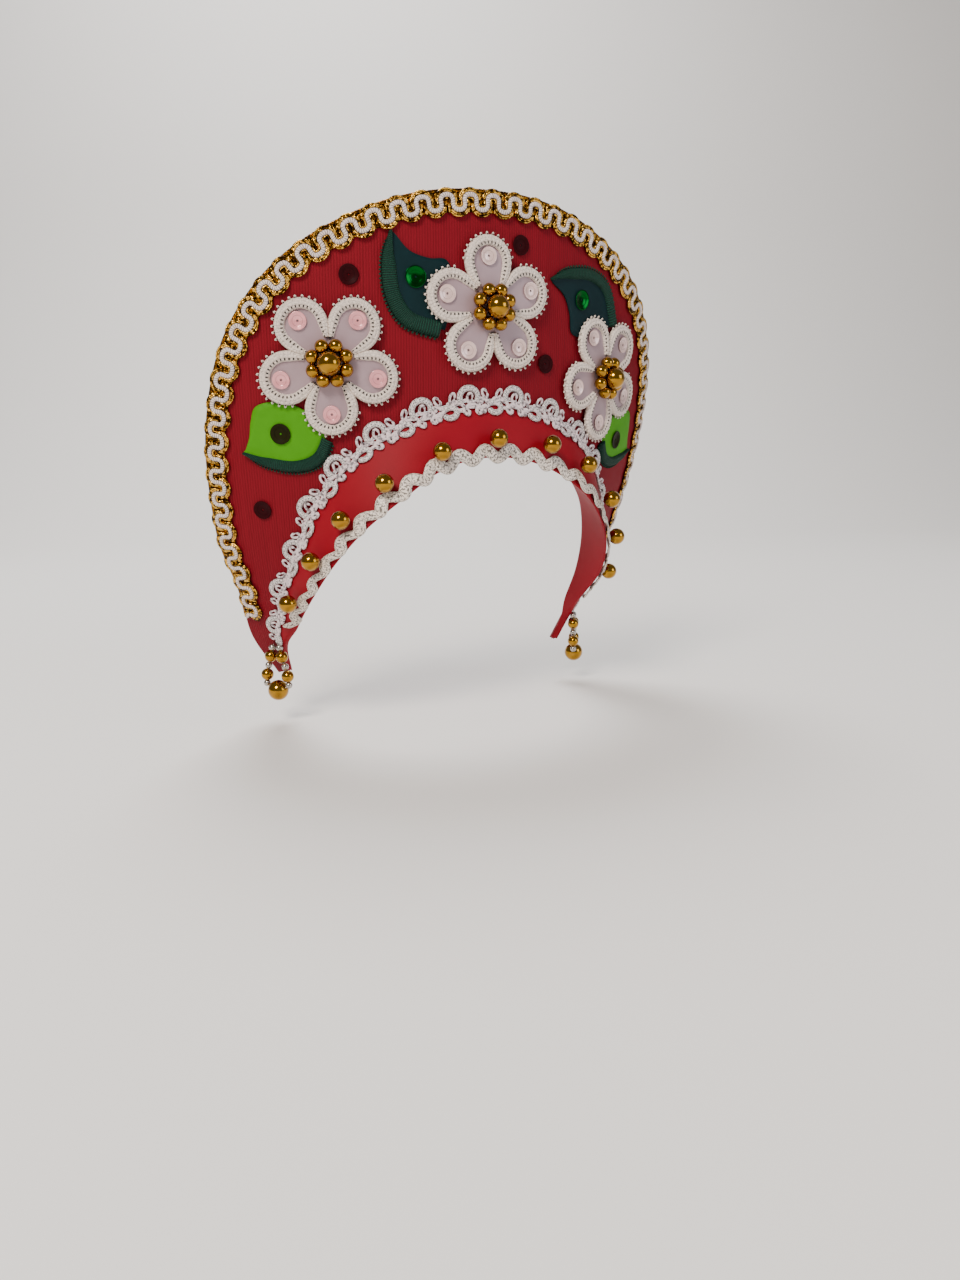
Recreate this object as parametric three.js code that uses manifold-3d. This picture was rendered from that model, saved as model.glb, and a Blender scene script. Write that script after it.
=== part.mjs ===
// A kokoshnik: a stiff crescent shield of red cloth on a folded brow band, trimmed with
// braid, lace and zigzag tape, and sewn with flowers, leaves, sequins and gilt beads.
// Millimetres. x runs to the right seen from the front, y to the back, z up.
// The origin is the seat on the forehead, at the middle of the brow.
import * as THREE from 'three';
import { mergeVertices } from 'three/addons/utils/BufferGeometryUtils.js';
import Module from 'manifold-3d';

const wasm = await Module();
wasm.setup();

const GAP = 0.3; // clearance between pieces that lie on each other

// Shield: a covered board, bent like part of a cone whose point lies far below the chin.
const SHIELD_WALL = 3;
const SHIELD_CELLS = { along: 40, across: 3 };
const CONE_POINT_DROP = 150;
const CONE_SPREAD = 0.9;
const TIP_ROUNDING = 36;
const SHIELD_LEAN = Math.tan(THREE.MathUtils.degToRad(3));

// Outer edge and lace line of the shield, from the middle of the brow to the right tip.
const SHIELD_STATIONS = [
  { edgeX: 0, edgeZ: 125, laceX: 0, laceZ: 31.7 },
  { edgeX: 48, edgeZ: 118.6, laceX: 34, laceZ: 25.5 },
  { edgeX: 92, edgeZ: 96.4, laceX: 64.5, laceZ: 8 },
  { edgeX: 117.6, edgeZ: 63, laceX: 81.7, laceZ: -15.5 },
  { edgeX: 126, edgeZ: 19, laceX: 88.6, laceZ: -40 },
  { edgeX: 121, edgeZ: -29, laceX: 93.2, laceZ: -61 },
  { edgeX: 110.4, edgeZ: -60, laceX: 93, laceZ: -79 },
  { edgeX: 102.4, edgeZ: -87, laceX: 91, laceZ: -93 },
  { edgeX: 88.5, edgeZ: -110, laceX: 86, laceZ: -108 },
];

// Fold of the brow band at the zigzag tape, and the back of its seat against the head.
const BROW_STATIONS = [
  { foldX: 0, foldY: -6.1, foldZ: 5.7, seatX: 0, seatY: 18, seatZ: 12 },
  { foldX: 28, foldY: -6, foldZ: 0.7, seatX: 27, seatY: 19, seatZ: 9 },
  { foldX: 50.5, foldY: -5.3, foldZ: -11.7, seatX: 52, seatY: 21, seatZ: -2 },
  { foldX: 67.1, foldY: 3.8, foldZ: -26.5, seatX: 69.5, seatY: 29, seatZ: -18 },
  { foldX: 78.8, foldY: 15.6, foldZ: -43.6, seatX: 78.5, seatY: 39, seatZ: -39 },
  { foldX: 85.8, foldY: 32.5, foldZ: -61.9, seatX: 83, seatY: 52, seatZ: -61 },
  { foldX: 88, foldY: 56.5, foldZ: -79.6, seatX: 84, seatY: 66, seatZ: -81 },
  { foldX: 89, foldY: 71, foldZ: -92.5, seatX: 86, seatY: 74, seatZ: -94 },
  { foldX: 84.6, foldY: 78.2, foldZ: -107, seatX: 82.7, seatY: 79.8, seatZ: -108 },
];
const BAND_WALL = 2.2;
const BAND_WALL_SHARE = 0.2; // the wall thins to this share of the flap or the seat at the tips
const BAND_CELLS = 36;
const BAND_BULGE = 1.4;
const FOLD_LAP = 2.5; // the tape's middle lies this far above the fold in the middle of the brow
const FOLD_SIDES = { start: 0.5, length: 2, extra: 2.1 }; // stations over which the lap widens
const FOLD_TIP = { start: 6, length: 1.5, share: 0.24 }; // stations over which the lap narrows to a share
const FOLD_CORNER = 1.2;

// Trims: width across, thickness and the length of one repeat along the trim.
const BRAID = { width: 13, thick: 2.6, repeat: 10.8, scallop: 2, overhang: 0.6, end: 6.55 };
const LACE = { above: 6.8, below: 7.2, thick: 1.4, repeat: 23.5, end: 6.75 };
const TAPE = { width: 5.6, thick: 1.2, repeat: 13.6, swing: 1.8, end: 5.95 };

// Beads and sequins.
const BROW_BEAD_RADIUS = 4.5;
const BROW_BEAD_LIFT = 6.6; // the beads stand in front of the tape's waves
// Station and distance above the tape's middle of each bead, from the left tip. They are sewn on by hand.
const BROW_BEADS = [
  [-5.1, 5.4], [-4.07, 5.4], [-3.07, 6.5], [-2.1, 6], [-1.05, 5.5], [-0.06, 6.4],
  [0.94, 7], [1.8, 7], [2.86, 7], [3.98, 7], [5, 7],
];
const BALL_SIDES = 8;
const BALL_RINGS = 4;
// Radii of the sequins, their thickness, and the share of the radius that their flat floor takes.
const SEQUIN = { petal: 4, leaf: 4.8, ground: 4.5, thick: 0.6, floor: 0.8 };

// Flowers: five round petals of satin with a woven edging, and a cluster of gilt beads.
const PETALS = 5;
const PETAL_REACH = 20.4; // from the flower's middle to the middle of a petal's round end
const PETAL_RADIUS = 11.3;
const PETAL_VALLEY = 19.3;
const PETAL_SWEEP = THREE.MathUtils.degToRad(104);
const PETAL_STEPS = 3;
const PETAL_SEQUIN_REACH = 22.9;
const EDGING_WIDTH = 4.4;
const PETAL_LIFT = 1.9;
const PETAL_THICK = 1;
const EDGING_THICK = 2.6;
const CLUSTER = { ring: 8, ringRadius: 7.1, small: 3.4, large: 5.6, largeRise: 2.8 };
const FLOWERS = [
  { name: 'left', x: -75.4, z: 48.2, turn: 125.5 },
  { name: 'centre', x: -1.2, z: 73.4, turn: 94.4 },
  { name: 'right', x: 73, z: 44, turn: 122.5 },
];

// Leaf: its corded edge with the cord's width, and its open edge, both from the tip.
// The open edge of an upper leaf is hollow, and that of a lower leaf is full.
const LEAF_STATIONS = [
  { cordX: 0, cordZ: 0, wide: 1.2, hollowX: 2.4, hollowZ: -1.4, fullX: 2.4, fullZ: -1.4 },
  { cordX: -4, cordZ: -12.5, wide: 5.6, hollowX: 9, hollowZ: -8.3, fullX: 9, fullZ: -2.6 },
  { cordX: -2.6, cordZ: -29, wide: 6.4, hollowX: 18, hollowZ: -11.2, fullX: 17, fullZ: -2.6 },
  { cordX: 6, cordZ: -41.5, wide: 6.6, hollowX: 27, hollowZ: -12, fullX: 25, fullZ: -5 },
  { cordX: 24, cordZ: -47, wide: 6.6, hollowX: 31, hollowZ: -23, fullX: 31, fullZ: -18 },
];
const LEAF_LIFT = 0.3;
const LEAF_THICK = 1;
const LEAF_CORD_THICK = 2.4;
const LEAF_CORD_GAP = 0.4;
const LEAF_CELLS = { along: 8, across: 2, cord: 9 };
const LEAF_SEQUINS = {
  upper_left: [11.5, -19.5], upper_right: [11.5, -19.5],
  lower_left: [14.4, -18.1], lower_right: [12.5, -23.1],
};
const LEAVES = [
  { name: 'upper_left', x: -49.4, z: 105.2, turn: 0, side: 1, size: 1, cord: 1.25, cordEnd: 0.97 },
  { name: 'upper_right', x: 33.5, z: 89.3, turn: 98, side: -1, size: 1, cord: 1, cordEnd: 0.9 },
  { name: 'lower_left', x: -111, z: 8.4, turn: 75, side: 1, size: 0.98, cord: 1, cordEnd: 0.9 },
  { name: 'lower_right', x: 110.5, z: 6.6, turn: -75, side: -1, size: 0.94, cord: 1, cordEnd: 0.88 },
];

// Sequins sewn on the bare cloth of the shield.
const GROUND_SEQUINS = [
  { name: 'upper_left', x: -67.2, z: 86.3 },
  { name: 'lower_left', x: -102.7, z: -18.7 },
  { name: 'crown', x: 15.7, z: 102.6 },
  { name: 'brow', x: 31.7, z: 48.9 },
];

// Pendants: a thread loop below each tip, strung with gilt beads.
const PENDANT = { x: 91.5, z: -91.4, lift: 2.6, thread: 0.7, sides: 5, steps: 14 };
const PENDANT_STRING = [
  { across: 1.4, drop: -1.5, bead: 0 },
  { across: 3.7, drop: 5.2, bead: 3.3 },
  { across: 6.9, drop: 15.4, bead: 3.3 },
  { across: 6.4, drop: 20.6, bead: 0 },
  { across: 0, drop: 23.5, bead: 5.5 },
];

const RED_CLOTH = { color: '#8f1a22', roughness: 0.85 };
const BAND_CLOTH = { color: '#b81c26', roughness: 0.75 };
const GILT = { color: '#d9a02c', roughness: 0.18, metalness: 1 };
const GOLD_BRAID = { color: '#b98a35', roughness: 0.5, metalness: 0.5 };
const WHITE_TRIM = { color: '#e9e4e2', roughness: 0.8 };
const PETAL_SATIN = { color: '#cdbfc4', roughness: 0.45 };
const DARK_LEAF = { color: '#12383a', roughness: 0.7 };
const LIME_LEAF = { color: '#67b01e', roughness: 0.7 };
const GREEN_CORD = { color: '#0f4a30', roughness: 0.85 };
const PINK_SEQUIN = { color: '#e0a9ad', roughness: 0.2 };
const GREEN_SEQUIN = { color: '#0b6a35', roughness: 0.15, metalness: 0.6 };
const RED_SEQUIN = { color: '#4d0d14', roughness: 0.25, metalness: 0.4 };

const headdress = new THREE.Group();

function addPiece(name, geometry, finish) {
  const mesh = new THREE.Mesh(geometry, new THREE.MeshStandardMaterial(finish));
  mesh.name = name;
  headdress.add(mesh);
  return mesh;
}

// Moves every vertex of a geometry and closes the seams that its texture mapping left open.
function reshape(geometry, place) {
  const positions = geometry.attributes.position;
  for (let i = 0; i < positions.count; i += 1) {
    const p = place(positions.getX(i), positions.getY(i), positions.getZ(i));
    positions.setXYZ(i, p.x, p.y, p.z);
  }
  return closed(geometry);
}

function closed(geometry) {
  geometry.deleteAttribute('normal');
  geometry.deleteAttribute('uv');
  const merged = mergeVertices(geometry, 1e-4);
  merged.computeVertexNormals();
  return merged;
}

// A slab of cells: u and v run over its face from 0 to 1, w from its back to its front.
function slab(cellsU, cellsV, place) {
  const box = new THREE.BoxGeometry(1, 1, 1, cellsU, cellsV, 1);
  return reshape(box, (x, y, z) => place(x + 0.5, y + 0.5, z + 0.5));
}

function toSolid(geometry) {
  return new wasm.Manifold(new wasm.Mesh({
    numProp: 3,
    vertProperties: new Float32Array(geometry.attributes.position.array),
    triVerts: new Uint32Array(geometry.index.array),
  }));
}

function fused(geometries) {
  const solid = geometries.map(toSolid).reduce((whole, next) => whole.add(next));
  const mesh = solid.getMesh();
  const geometry = new THREE.BufferGeometry();
  geometry.setAttribute('position', new THREE.BufferAttribute(mesh.vertProperties, 3));
  geometry.setIndex(new THREE.BufferAttribute(mesh.triVerts, 1));
  geometry.computeVertexNormals();
  return geometry;
}

function ball(radius, centre) {
  const sphere = new THREE.SphereGeometry(radius, BALL_SIDES, BALL_RINGS);
  return closed(sphere.translate(centre.x, centre.y, centre.z));
}

// Shield surface: y of the front face, and a point lifted off it by the given height.
function shieldY(x, z) {
  const bend = CONE_SPREAD * Math.hypot(z + CONE_POINT_DROP, TIP_ROUNDING);
  return (x * x) / (2 * bend) - SHIELD_LEAN * z;
}

function shieldNormal(x, z) {
  const step = 0.01;
  const slopeX = (shieldY(x + step, z) - shieldY(x - step, z)) / (2 * step);
  const slopeZ = (shieldY(x, z + step) - shieldY(x, z - step)) / (2 * step);
  return new THREE.Vector3(slopeX, -1, slopeZ).normalize();
}

function onShield(x, z, lift) {
  return shieldNormal(x, z).multiplyScalar(lift).add(new THREE.Vector3(x, shieldY(x, z), z));
}

// Flat coordinates round a point of the shield: p to the right, q up, lift to the front.
function patch(x, z) {
  const normal = shieldNormal(x, z);
  const right = new THREE.Vector3(-normal.y, normal.x, 0).normalize();
  const up = new THREE.Vector3().crossVectors(normal, right);
  return (p, q, lift) => onShield(x + p * right.x + q * up.x, z + q * up.z, lift);
}

// Curves through mirrored stations. Station 0 is the middle, negative stations are the left.
function throughStations(rows, point) {
  const right = rows.map(point);
  const left = right.slice(1).reverse().map((p) => new THREE.Vector3(-p.x, p.y, p.z));
  const curve = new THREE.CatmullRomCurve3([...left, ...right], false, 'catmullrom', 0.5);
  const end = rows.length - 1;
  return (station) => curve.getPoint((THREE.MathUtils.clamp(station / end, -1, 1) + 1) / 2);
}

const shieldEdge = throughStations(SHIELD_STATIONS, (r) => new THREE.Vector3(r.edgeX, 0, r.edgeZ));
const laceLine = throughStations(SHIELD_STATIONS, (r) => new THREE.Vector3(r.laceX, 0, r.laceZ));
const tapeLine = throughStations(BROW_STATIONS, (r) => new THREE.Vector3(r.foldX, r.foldY, r.foldZ));
const seatLine = throughStations(BROW_STATIONS, (r) => new THREE.Vector3(r.seatX, r.seatY, r.seatZ));

function shieldPoint(station, across, lift) {
  const p = laceLine(station).lerp(shieldEdge(station), across);
  return onShield(p.x, p.z, lift);
}

const SHIELD_END = SHIELD_STATIONS.length - 1;
addPiece('shield', slab(SHIELD_CELLS.along, SHIELD_CELLS.across, (u, v, w) => (
  shieldPoint((2 * u - 1) * SHIELD_END, v, (w - 1) * SHIELD_WALL)
)), RED_CLOTH);

function foldLap(station) {
  const away = Math.abs(station);
  const widened = THREE.MathUtils.smoothstep(away - FOLD_SIDES.start, 0, FOLD_SIDES.length);
  const narrowed = THREE.MathUtils.smoothstep(away - FOLD_TIP.start, 0, FOLD_TIP.length);
  return (FOLD_LAP + FOLD_SIDES.extra * widened) * (1 - (1 - FOLD_TIP.share) * narrowed);
}

// Section of the brow band: a flap from the lace line to the fold, and a seat from the fold back.
function bandSection(station) {
  const lace = laceLine(station);
  const top = onShield(lace.x, lace.z, 0);
  const tape = tapeLine(station);
  const rise = top.clone().sub(tape).normalize();
  const fold = tape.clone().addScaledVector(rise, -foldLap(station));
  const seat = seatLine(station);
  const back = seat.clone().sub(fold).normalize();
  const along = tapeLine(station + 0.01).sub(tapeLine(station - 0.01)).normalize();
  const front = new THREE.Vector3().crossVectors(along, rise).normalize();
  top.addScaledVector(rise, -2 * GAP);
  const middle = top.clone().lerp(fold, 0.5).addScaledVector(front, BAND_BULGE);
  return { top, middle, fold, seat, rise, back, front, length: top.distanceTo(fold) };
}

// Rows of the band's outer face from the seat's back edge to the lace line, with the inner face.
function bandRows(station) {
  const s = bandSection(station);
  const inward = s.back.clone().addScaledVector(s.rise, -s.back.dot(s.rise)).normalize();
  const upward = s.rise.clone().addScaledVector(s.back, -s.back.dot(s.rise)).normalize();
  const spread = Math.sqrt(1 - s.back.dot(s.rise) ** 2);
  const seatLength = s.seat.distanceTo(s.fold);
  const wall = Math.min(BAND_WALL, BAND_WALL_SHARE * Math.min(seatLength, s.length) * spread);
  const inFold = s.rise.clone().add(s.back).multiplyScalar(wall / spread);
  const hollow = s.fold.clone().add(inFold);
  const seatMiddle = s.seat.clone().lerp(s.fold, 0.5);
  const outer = [
    s.seat,
    seatMiddle,
    s.fold.clone().addScaledVector(s.back, FOLD_CORNER * spread),
    s.fold.clone().addScaledVector(s.rise, FOLD_CORNER * spread),
    s.middle,
    s.top,
  ];
  const inner = [
    s.seat.clone().addScaledVector(upward, wall),
    seatMiddle.clone().addScaledVector(upward, wall),
    hollow.clone().addScaledVector(s.back, GAP),
    hollow.clone().addScaledVector(s.rise, GAP),
    s.middle.clone().addScaledVector(inward, wall),
    s.top.clone().addScaledVector(inward, wall),
  ];
  return { outer, inner };
}

const BAND_END = BROW_STATIONS.length - 1;
const BAND_ROWS = 5;
addPiece('brow_band', slab(BAND_CELLS, BAND_ROWS, (u, v, w) => {
  const rows = bandRows((2 * u - 1) * BAND_END);
  return (w > 0.5 ? rows.outer : rows.inner)[Math.round(v * BAND_ROWS)];
}), BAND_CLOTH);

// A point on the front of the flap, measured up from the fold, lifted off the cloth.
function onFlap(station, rise, lift) {
  const s = bandSection(station);
  const half = s.length / 2;
  const start = rise < half ? s.fold : s.middle;
  const end = rise < half ? s.middle : s.top;
  const direction = end.clone().sub(start).normalize();
  const from = rise < half ? rise : rise - half;
  const along = tapeLine(station + 0.01).sub(tapeLine(station - 0.01)).normalize();
  const normal = new THREE.Vector3().crossVectors(along, direction).normalize();
  return start.clone().addScaledVector(direction, from).addScaledVector(normal, lift);
}

// Even spacing along a trim: the station at each fraction of its length.
function evenStations(end, pointAt) {
  const steps = 400;
  const lengths = [0];
  for (let i = 1; i <= steps; i += 1) {
    const a = pointAt((2 * (i - 1) / steps - 1) * end);
    const b = pointAt((2 * i / steps - 1) * end);
    lengths.push(lengths[i - 1] + a.distanceTo(b));
  }
  const total = lengths[steps];
  const stationAt = (fraction) => {
    const goal = THREE.MathUtils.clamp(fraction, 0, 1) * total;
    let i = 1;
    while (i < steps && lengths[i] < goal) {
      i += 1;
    }
    const part = (goal - lengths[i - 1]) / (lengths[i] - lengths[i - 1]);
    return (2 * (i - 1 + part) / steps - 1) * end;
  };
  return { total, stationAt };
}

// A point on the shield, at a distance to the inner side of the outer edge.
function besideEdge(station, inward, lift) {
  const here = shieldEdge(station);
  const edge = onShield(here.x, here.z, 0);
  const next = shieldEdge(station + 0.01);
  const along = onShield(next.x, next.z, 0).sub(edge).normalize();
  const inside = new THREE.Vector3().crossVectors(along, shieldNormal(here.x, here.z));
  const p = edge.addScaledVector(inside, inward);
  return onShield(p.x, p.z, lift);
}

const braidRun = evenStations(BRAID.end, (s) => besideEdge(s, BRAID.width / 2, 0));
const braidRepeats = Math.round(braidRun.total / BRAID.repeat);
addPiece('gold_braid', slab(braidRepeats * 2, 1, (u, v, w) => {
  const lobe = Math.abs(Math.sin(Math.PI * braidRepeats * u));
  const inner = BRAID.width - BRAID.overhang - BRAID.scallop * (1 - lobe);
  const inward = THREE.MathUtils.lerp(inner, -BRAID.overhang, v);
  return besideEdge(braidRun.stationAt(u), inward, GAP + w * BRAID.thick);
}), GOLD_BRAID);

// Lace over the seam: its upper half lies on the shield and its lower half on the flap.
function onSeam(station, across, lift) {
  const s = bandSection(station);
  const here = laceLine(station);
  const up = shieldPoint(station, 0.02, 0).sub(shieldPoint(station, 0, 0)).normalize();
  const along = laceLine(station + 0.01).sub(laceLine(station - 0.01)).normalize();
  const normal = shieldNormal(here.x, here.z);
  const level = along.addScaledVector(normal, -along.dot(normal));
  const outward = new THREE.Vector3().crossVectors(normal, level);
  const edge = onShield(here.x, here.z, 0);
  if (across >= 0) {
    const side = outward.normalize().lerp(up, 0.2);
    const p = edge.addScaledVector(side, across);
    return onShield(p.x, p.z, lift);
  }
  const bend = THREE.MathUtils.smoothstep(-across, 0, 3);
  const faced = normal.lerp(s.front, bend).normalize();
  const below = s.middle.clone().sub(s.top).normalize();
  return edge.addScaledVector(below, -across).addScaledVector(faced, lift);
}

// One repeat of the lace: a round scallop above, a wave below, and three openings.
function laceRepeat() {
  const { repeat, above, below } = LACE;
  const outline = new THREE.Shape();
  outline.moveTo(0, -below * 0.5);
  outline.lineTo(repeat * 0.2, -below);
  outline.lineTo(repeat * 0.45, -below * 0.95);
  outline.lineTo(repeat * 0.7, -below * 0.5);
  outline.lineTo(repeat, -below * 0.5);
  outline.lineTo(repeat, above * 0.35);
  for (let i = 0; i <= 3; i += 1) {
    const turn = Math.PI * (i / 3);
    outline.lineTo(repeat * 0.5 + 5.2 * Math.cos(turn), above * (0.45 + 0.55 * Math.sin(turn)));
  }
  outline.lineTo(0, above * 0.35);
  const openings = [
    { x: 0.5, z: above * 0.42, wide: 2.6, high: 1.7 },
    { x: 0.3, z: -below * 0.52, wide: 3, high: 1.4 },
    { x: 0.84, z: -below * 0.06, wide: 2, high: 1.2 },
  ];
  for (const o of openings) {
    const hole = new THREE.Path();
    hole.absellipse(repeat * o.x, o.z, o.wide, o.high, 0, 2 * Math.PI, false, 0);
    outline.holes.push(hole);
  }
  return outline;
}

const laceRun = evenStations(LACE.end, (s) => onSeam(s, 0, 0));
const laceRepeats = Math.round(laceRun.total / LACE.repeat);

function laceCorner(index, x, z, w) {
  const station = laceRun.stationAt((index + x / LACE.repeat) / laceRepeats);
  const room = (bandSection(station).length - foldLap(station) - TAPE.width) / LACE.below;
  const across = z < 0 ? z * THREE.MathUtils.clamp(room, 0.3, 1) : z;
  return onSeam(station, across, 2 * GAP + w * LACE.thick);
}

// Repeats laid end to end. The end faces where two repeats meet are left out.
function laceBody() {
  const settings = { depth: 1, bevelEnabled: false, curveSegments: 2 };
  const repeat = new THREE.ExtrudeGeometry(laceRepeat(), settings);
  const { position } = repeat.attributes;
  const corners = [];
  for (let index = 0; index < laceRepeats; index += 1) {
    for (let first = 0; first < position.count; first += 3) {
      const triangle = [first, first + 1, first + 2];
      const liesAt = (x) => triangle.every((k) => Math.abs(position.getX(k) - x) < 0.01);
      const joins = (index > 0 && liesAt(0)) || (index < laceRepeats - 1 && liesAt(LACE.repeat));
      for (const k of joins ? [] : triangle) {
        corners.push(...laceCorner(index, position.getX(k), position.getY(k), position.getZ(k)).toArray());
      }
    }
  }
  const body = new THREE.BufferGeometry();
  body.setAttribute('position', new THREE.Float32BufferAttribute(corners, 3));
  return closed(body);
}

addPiece('lace_trim', laceBody(), WHITE_TRIM);

// Zigzag tape along the fold.
const tapeRun = evenStations(TAPE.end, (s) => onFlap(s, foldLap(s), 0));
const tapeRepeats = Math.round(tapeRun.total / TAPE.repeat);
addPiece('ric_rac', slab(tapeRepeats * 4, 1, (u, v, w) => {
  const swing = TAPE.swing * Math.cos(2 * Math.PI * tapeRepeats * u);
  const station = tapeRun.stationAt(u);
  const rise = foldLap(station) + swing + (v - 0.5) * TAPE.width;
  return onFlap(station, rise, 2 * GAP + w * TAPE.thick);
}), WHITE_TRIM);

for (let i = 0; i < BROW_BEADS.length; i += 1) {
  const [station, above] = BROW_BEADS[i];
  const centre = onFlap(station, foldLap(station) + above, BROW_BEAD_LIFT);
  const bead = addPiece(`brow_bead_${i + 1}`, ball(BROW_BEAD_RADIUS, new THREE.Vector3()), GILT);
  bead.position.copy(centre);
}

function addSequin(name, point, base, radius, finish) {
  const disc = closed(new THREE.CylinderGeometry(radius, radius * SEQUIN.floor, SEQUIN.thick, 8));
  const sequin = addPiece(name, disc, finish);
  const normal = point(1).sub(point(0)).normalize();
  sequin.quaternion.setFromUnitVectors(new THREE.Vector3(0, 1, 0), normal);
  sequin.position.copy(point(base + GAP + SEQUIN.thick / 2));
}

// Outline of a flower, drawn in by a margin from its outer edge.
function flowerOutline(turn, margin) {
  const outline = new THREE.Shape();
  const half = Math.PI / PETALS;
  for (let k = 0; k < PETALS; k += 1) {
    const axis = turn + 2 * half * k;
    const x = PETAL_REACH * Math.cos(axis);
    const z = PETAL_REACH * Math.sin(axis);
    outline.absarc(x, z, PETAL_RADIUS - margin, axis - PETAL_SWEEP, axis + PETAL_SWEEP, false);
    const valley = PETAL_VALLEY - 1.2 * margin;
    outline.lineTo(valley * Math.cos(axis + half), valley * Math.sin(axis + half));
  }
  outline.closePath();
  return outline;
}

function drape(shape, lay, lift, thick) {
  const settings = { depth: 1, bevelEnabled: false, curveSegments: PETAL_STEPS };
  const plate = new THREE.ExtrudeGeometry(shape, settings);
  return reshape(plate, (p, q, w) => lay(p, q, lift + w * thick));
}

// A plate inside an outline, as a fan from its middle so that it follows the curved shield.
function fanPlate(outline, lay, lift, thick) {
  const rim = outline.getPoints(PETAL_STEPS).slice(0, -1);
  const drum = new THREE.CylinderGeometry(1, 1, 1, rim.length, 1);
  return reshape(drum, (x, y, z) => {
    const turn = Math.atan2(x, z) / (2 * Math.PI);
    const corner = rim[Math.round((turn + 1) * rim.length) % rim.length];
    const reach = Math.hypot(x, z);
    return lay(corner.x * reach, corner.y * reach, lift + (y + 0.5) * thick);
  });
}

function addFlower(flower) {
  const lay = patch(flower.x, flower.z);
  const turn = THREE.MathUtils.degToRad(flower.turn);
  const name = `flower_${flower.name}`;
  const petals = fanPlate(flowerOutline(turn, EDGING_WIDTH + GAP), lay, PETAL_LIFT, PETAL_THICK);
  addPiece(`${name}_petals`, petals, PETAL_SATIN);
  const rim = flowerOutline(turn, 0);
  rim.holes.push(new THREE.Path(flowerOutline(turn, EDGING_WIDTH).getPoints(PETAL_STEPS)));
  addPiece(`${name}_edging`, drape(rim, lay, PETAL_LIFT, EDGING_THICK), WHITE_TRIM);
  const top = PETAL_LIFT + PETAL_THICK;
  const ringLift = top + 2 * GAP + CLUSTER.small;
  const beads = [ball(CLUSTER.large, lay(0, 0, ringLift + CLUSTER.largeRise))];
  for (let k = 0; k < CLUSTER.ring; k += 1) {
    const angle = 2 * Math.PI * (k + 0.5) / CLUSTER.ring;
    const p = CLUSTER.ringRadius * Math.cos(angle);
    const q = CLUSTER.ringRadius * Math.sin(angle);
    beads.push(ball(CLUSTER.small, lay(p, q, ringLift)));
  }
  addPiece(`${name}_bead_cluster`, fused(beads), GILT);
  for (let k = 0; k < PETALS; k += 1) {
    const axis = turn + 2 * Math.PI * k / PETALS;
    const p = PETAL_SEQUIN_REACH * Math.cos(axis);
    const q = PETAL_SEQUIN_REACH * Math.sin(axis);
    addSequin(`${name}_sequin_${k + 1}`, (lift) => lay(p, q, lift), top, SEQUIN.petal, PINK_SEQUIN);
  }
}

FLOWERS.forEach(addFlower);

function leafCurve(point) {
  return new THREE.CatmullRomCurve3(LEAF_STATIONS.map(point), false, 'catmullrom', 0.5);
}

const leafCord = leafCurve((r) => new THREE.Vector3(r.cordX, r.wide, r.cordZ));
const hollowEdge = leafCurve((r) => new THREE.Vector3(r.hollowX, 0, r.hollowZ));
const fullEdge = leafCurve((r) => new THREE.Vector3(r.fullX, 0, r.fullZ));

// A point across the leaf's cord: 0 is its outer side and 1 its inner side.
function cordPoint(t, across) {
  const p = leafCord.getPoint(t);
  const ahead = leafCord.getPoint(Math.min(t + 0.01, 1));
  const along = ahead.sub(leafCord.getPoint(Math.max(t - 0.01, 0)));
  const reach = across * p.y / Math.hypot(along.x, along.z);
  return new THREE.Vector2(p.x - along.z * reach, p.z + along.x * reach);
}

function addLeaf(leaf) {
  const lay = patch(leaf.x, leaf.z);
  const turn = THREE.MathUtils.degToRad(leaf.turn);
  const place = (flat, lift) => {
    const p = new THREE.Vector2(flat.x * leaf.side, flat.y);
    p.multiplyScalar(leaf.size).rotateAround(new THREE.Vector2(), turn);
    return lay(p.x, p.y, lift);
  };
  const across = (v) => (leaf.side > 0 ? v : 1 - v);
  const upper = leaf.name.startsWith('upper');
  const openEdge = upper ? hollowEdge : fullEdge;
  const fill = slab(LEAF_CELLS.along, LEAF_CELLS.across, (u, v, w) => {
    const inner = cordPoint(u, leaf.cord + LEAF_CORD_GAP / leafCord.getPoint(u).y);
    const open = openEdge.getPoint(u);
    const flat = inner.lerp(new THREE.Vector2(open.x, open.z), across(v));
    return place(flat, LEAF_LIFT + w * LEAF_THICK);
  });
  addPiece(`leaf_${leaf.name}`, fill, upper ? DARK_LEAF : LIME_LEAF);
  const cord = slab(LEAF_CELLS.cord, 1, (u, v, w) => (
    place(cordPoint(u * leaf.cordEnd, leaf.cord * across(v)), LEAF_LIFT + w * LEAF_CORD_THICK)
  ));
  addPiece(`leaf_${leaf.name}_cord`, cord, GREEN_CORD);
  const spot = new THREE.Vector2(...LEAF_SEQUINS[leaf.name]);
  const top = LEAF_LIFT + LEAF_THICK;
  addSequin(`leaf_${leaf.name}_sequin`, (lift) => place(spot, lift), top, SEQUIN.leaf, GREEN_SEQUIN);
}

LEAVES.forEach(addLeaf);

for (const spot of GROUND_SEQUINS) {
  addSequin(`sequin_${spot.name}`, (lift) => onShield(spot.x, spot.z, lift), 0, SEQUIN.ground, RED_SEQUIN);
}

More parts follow.
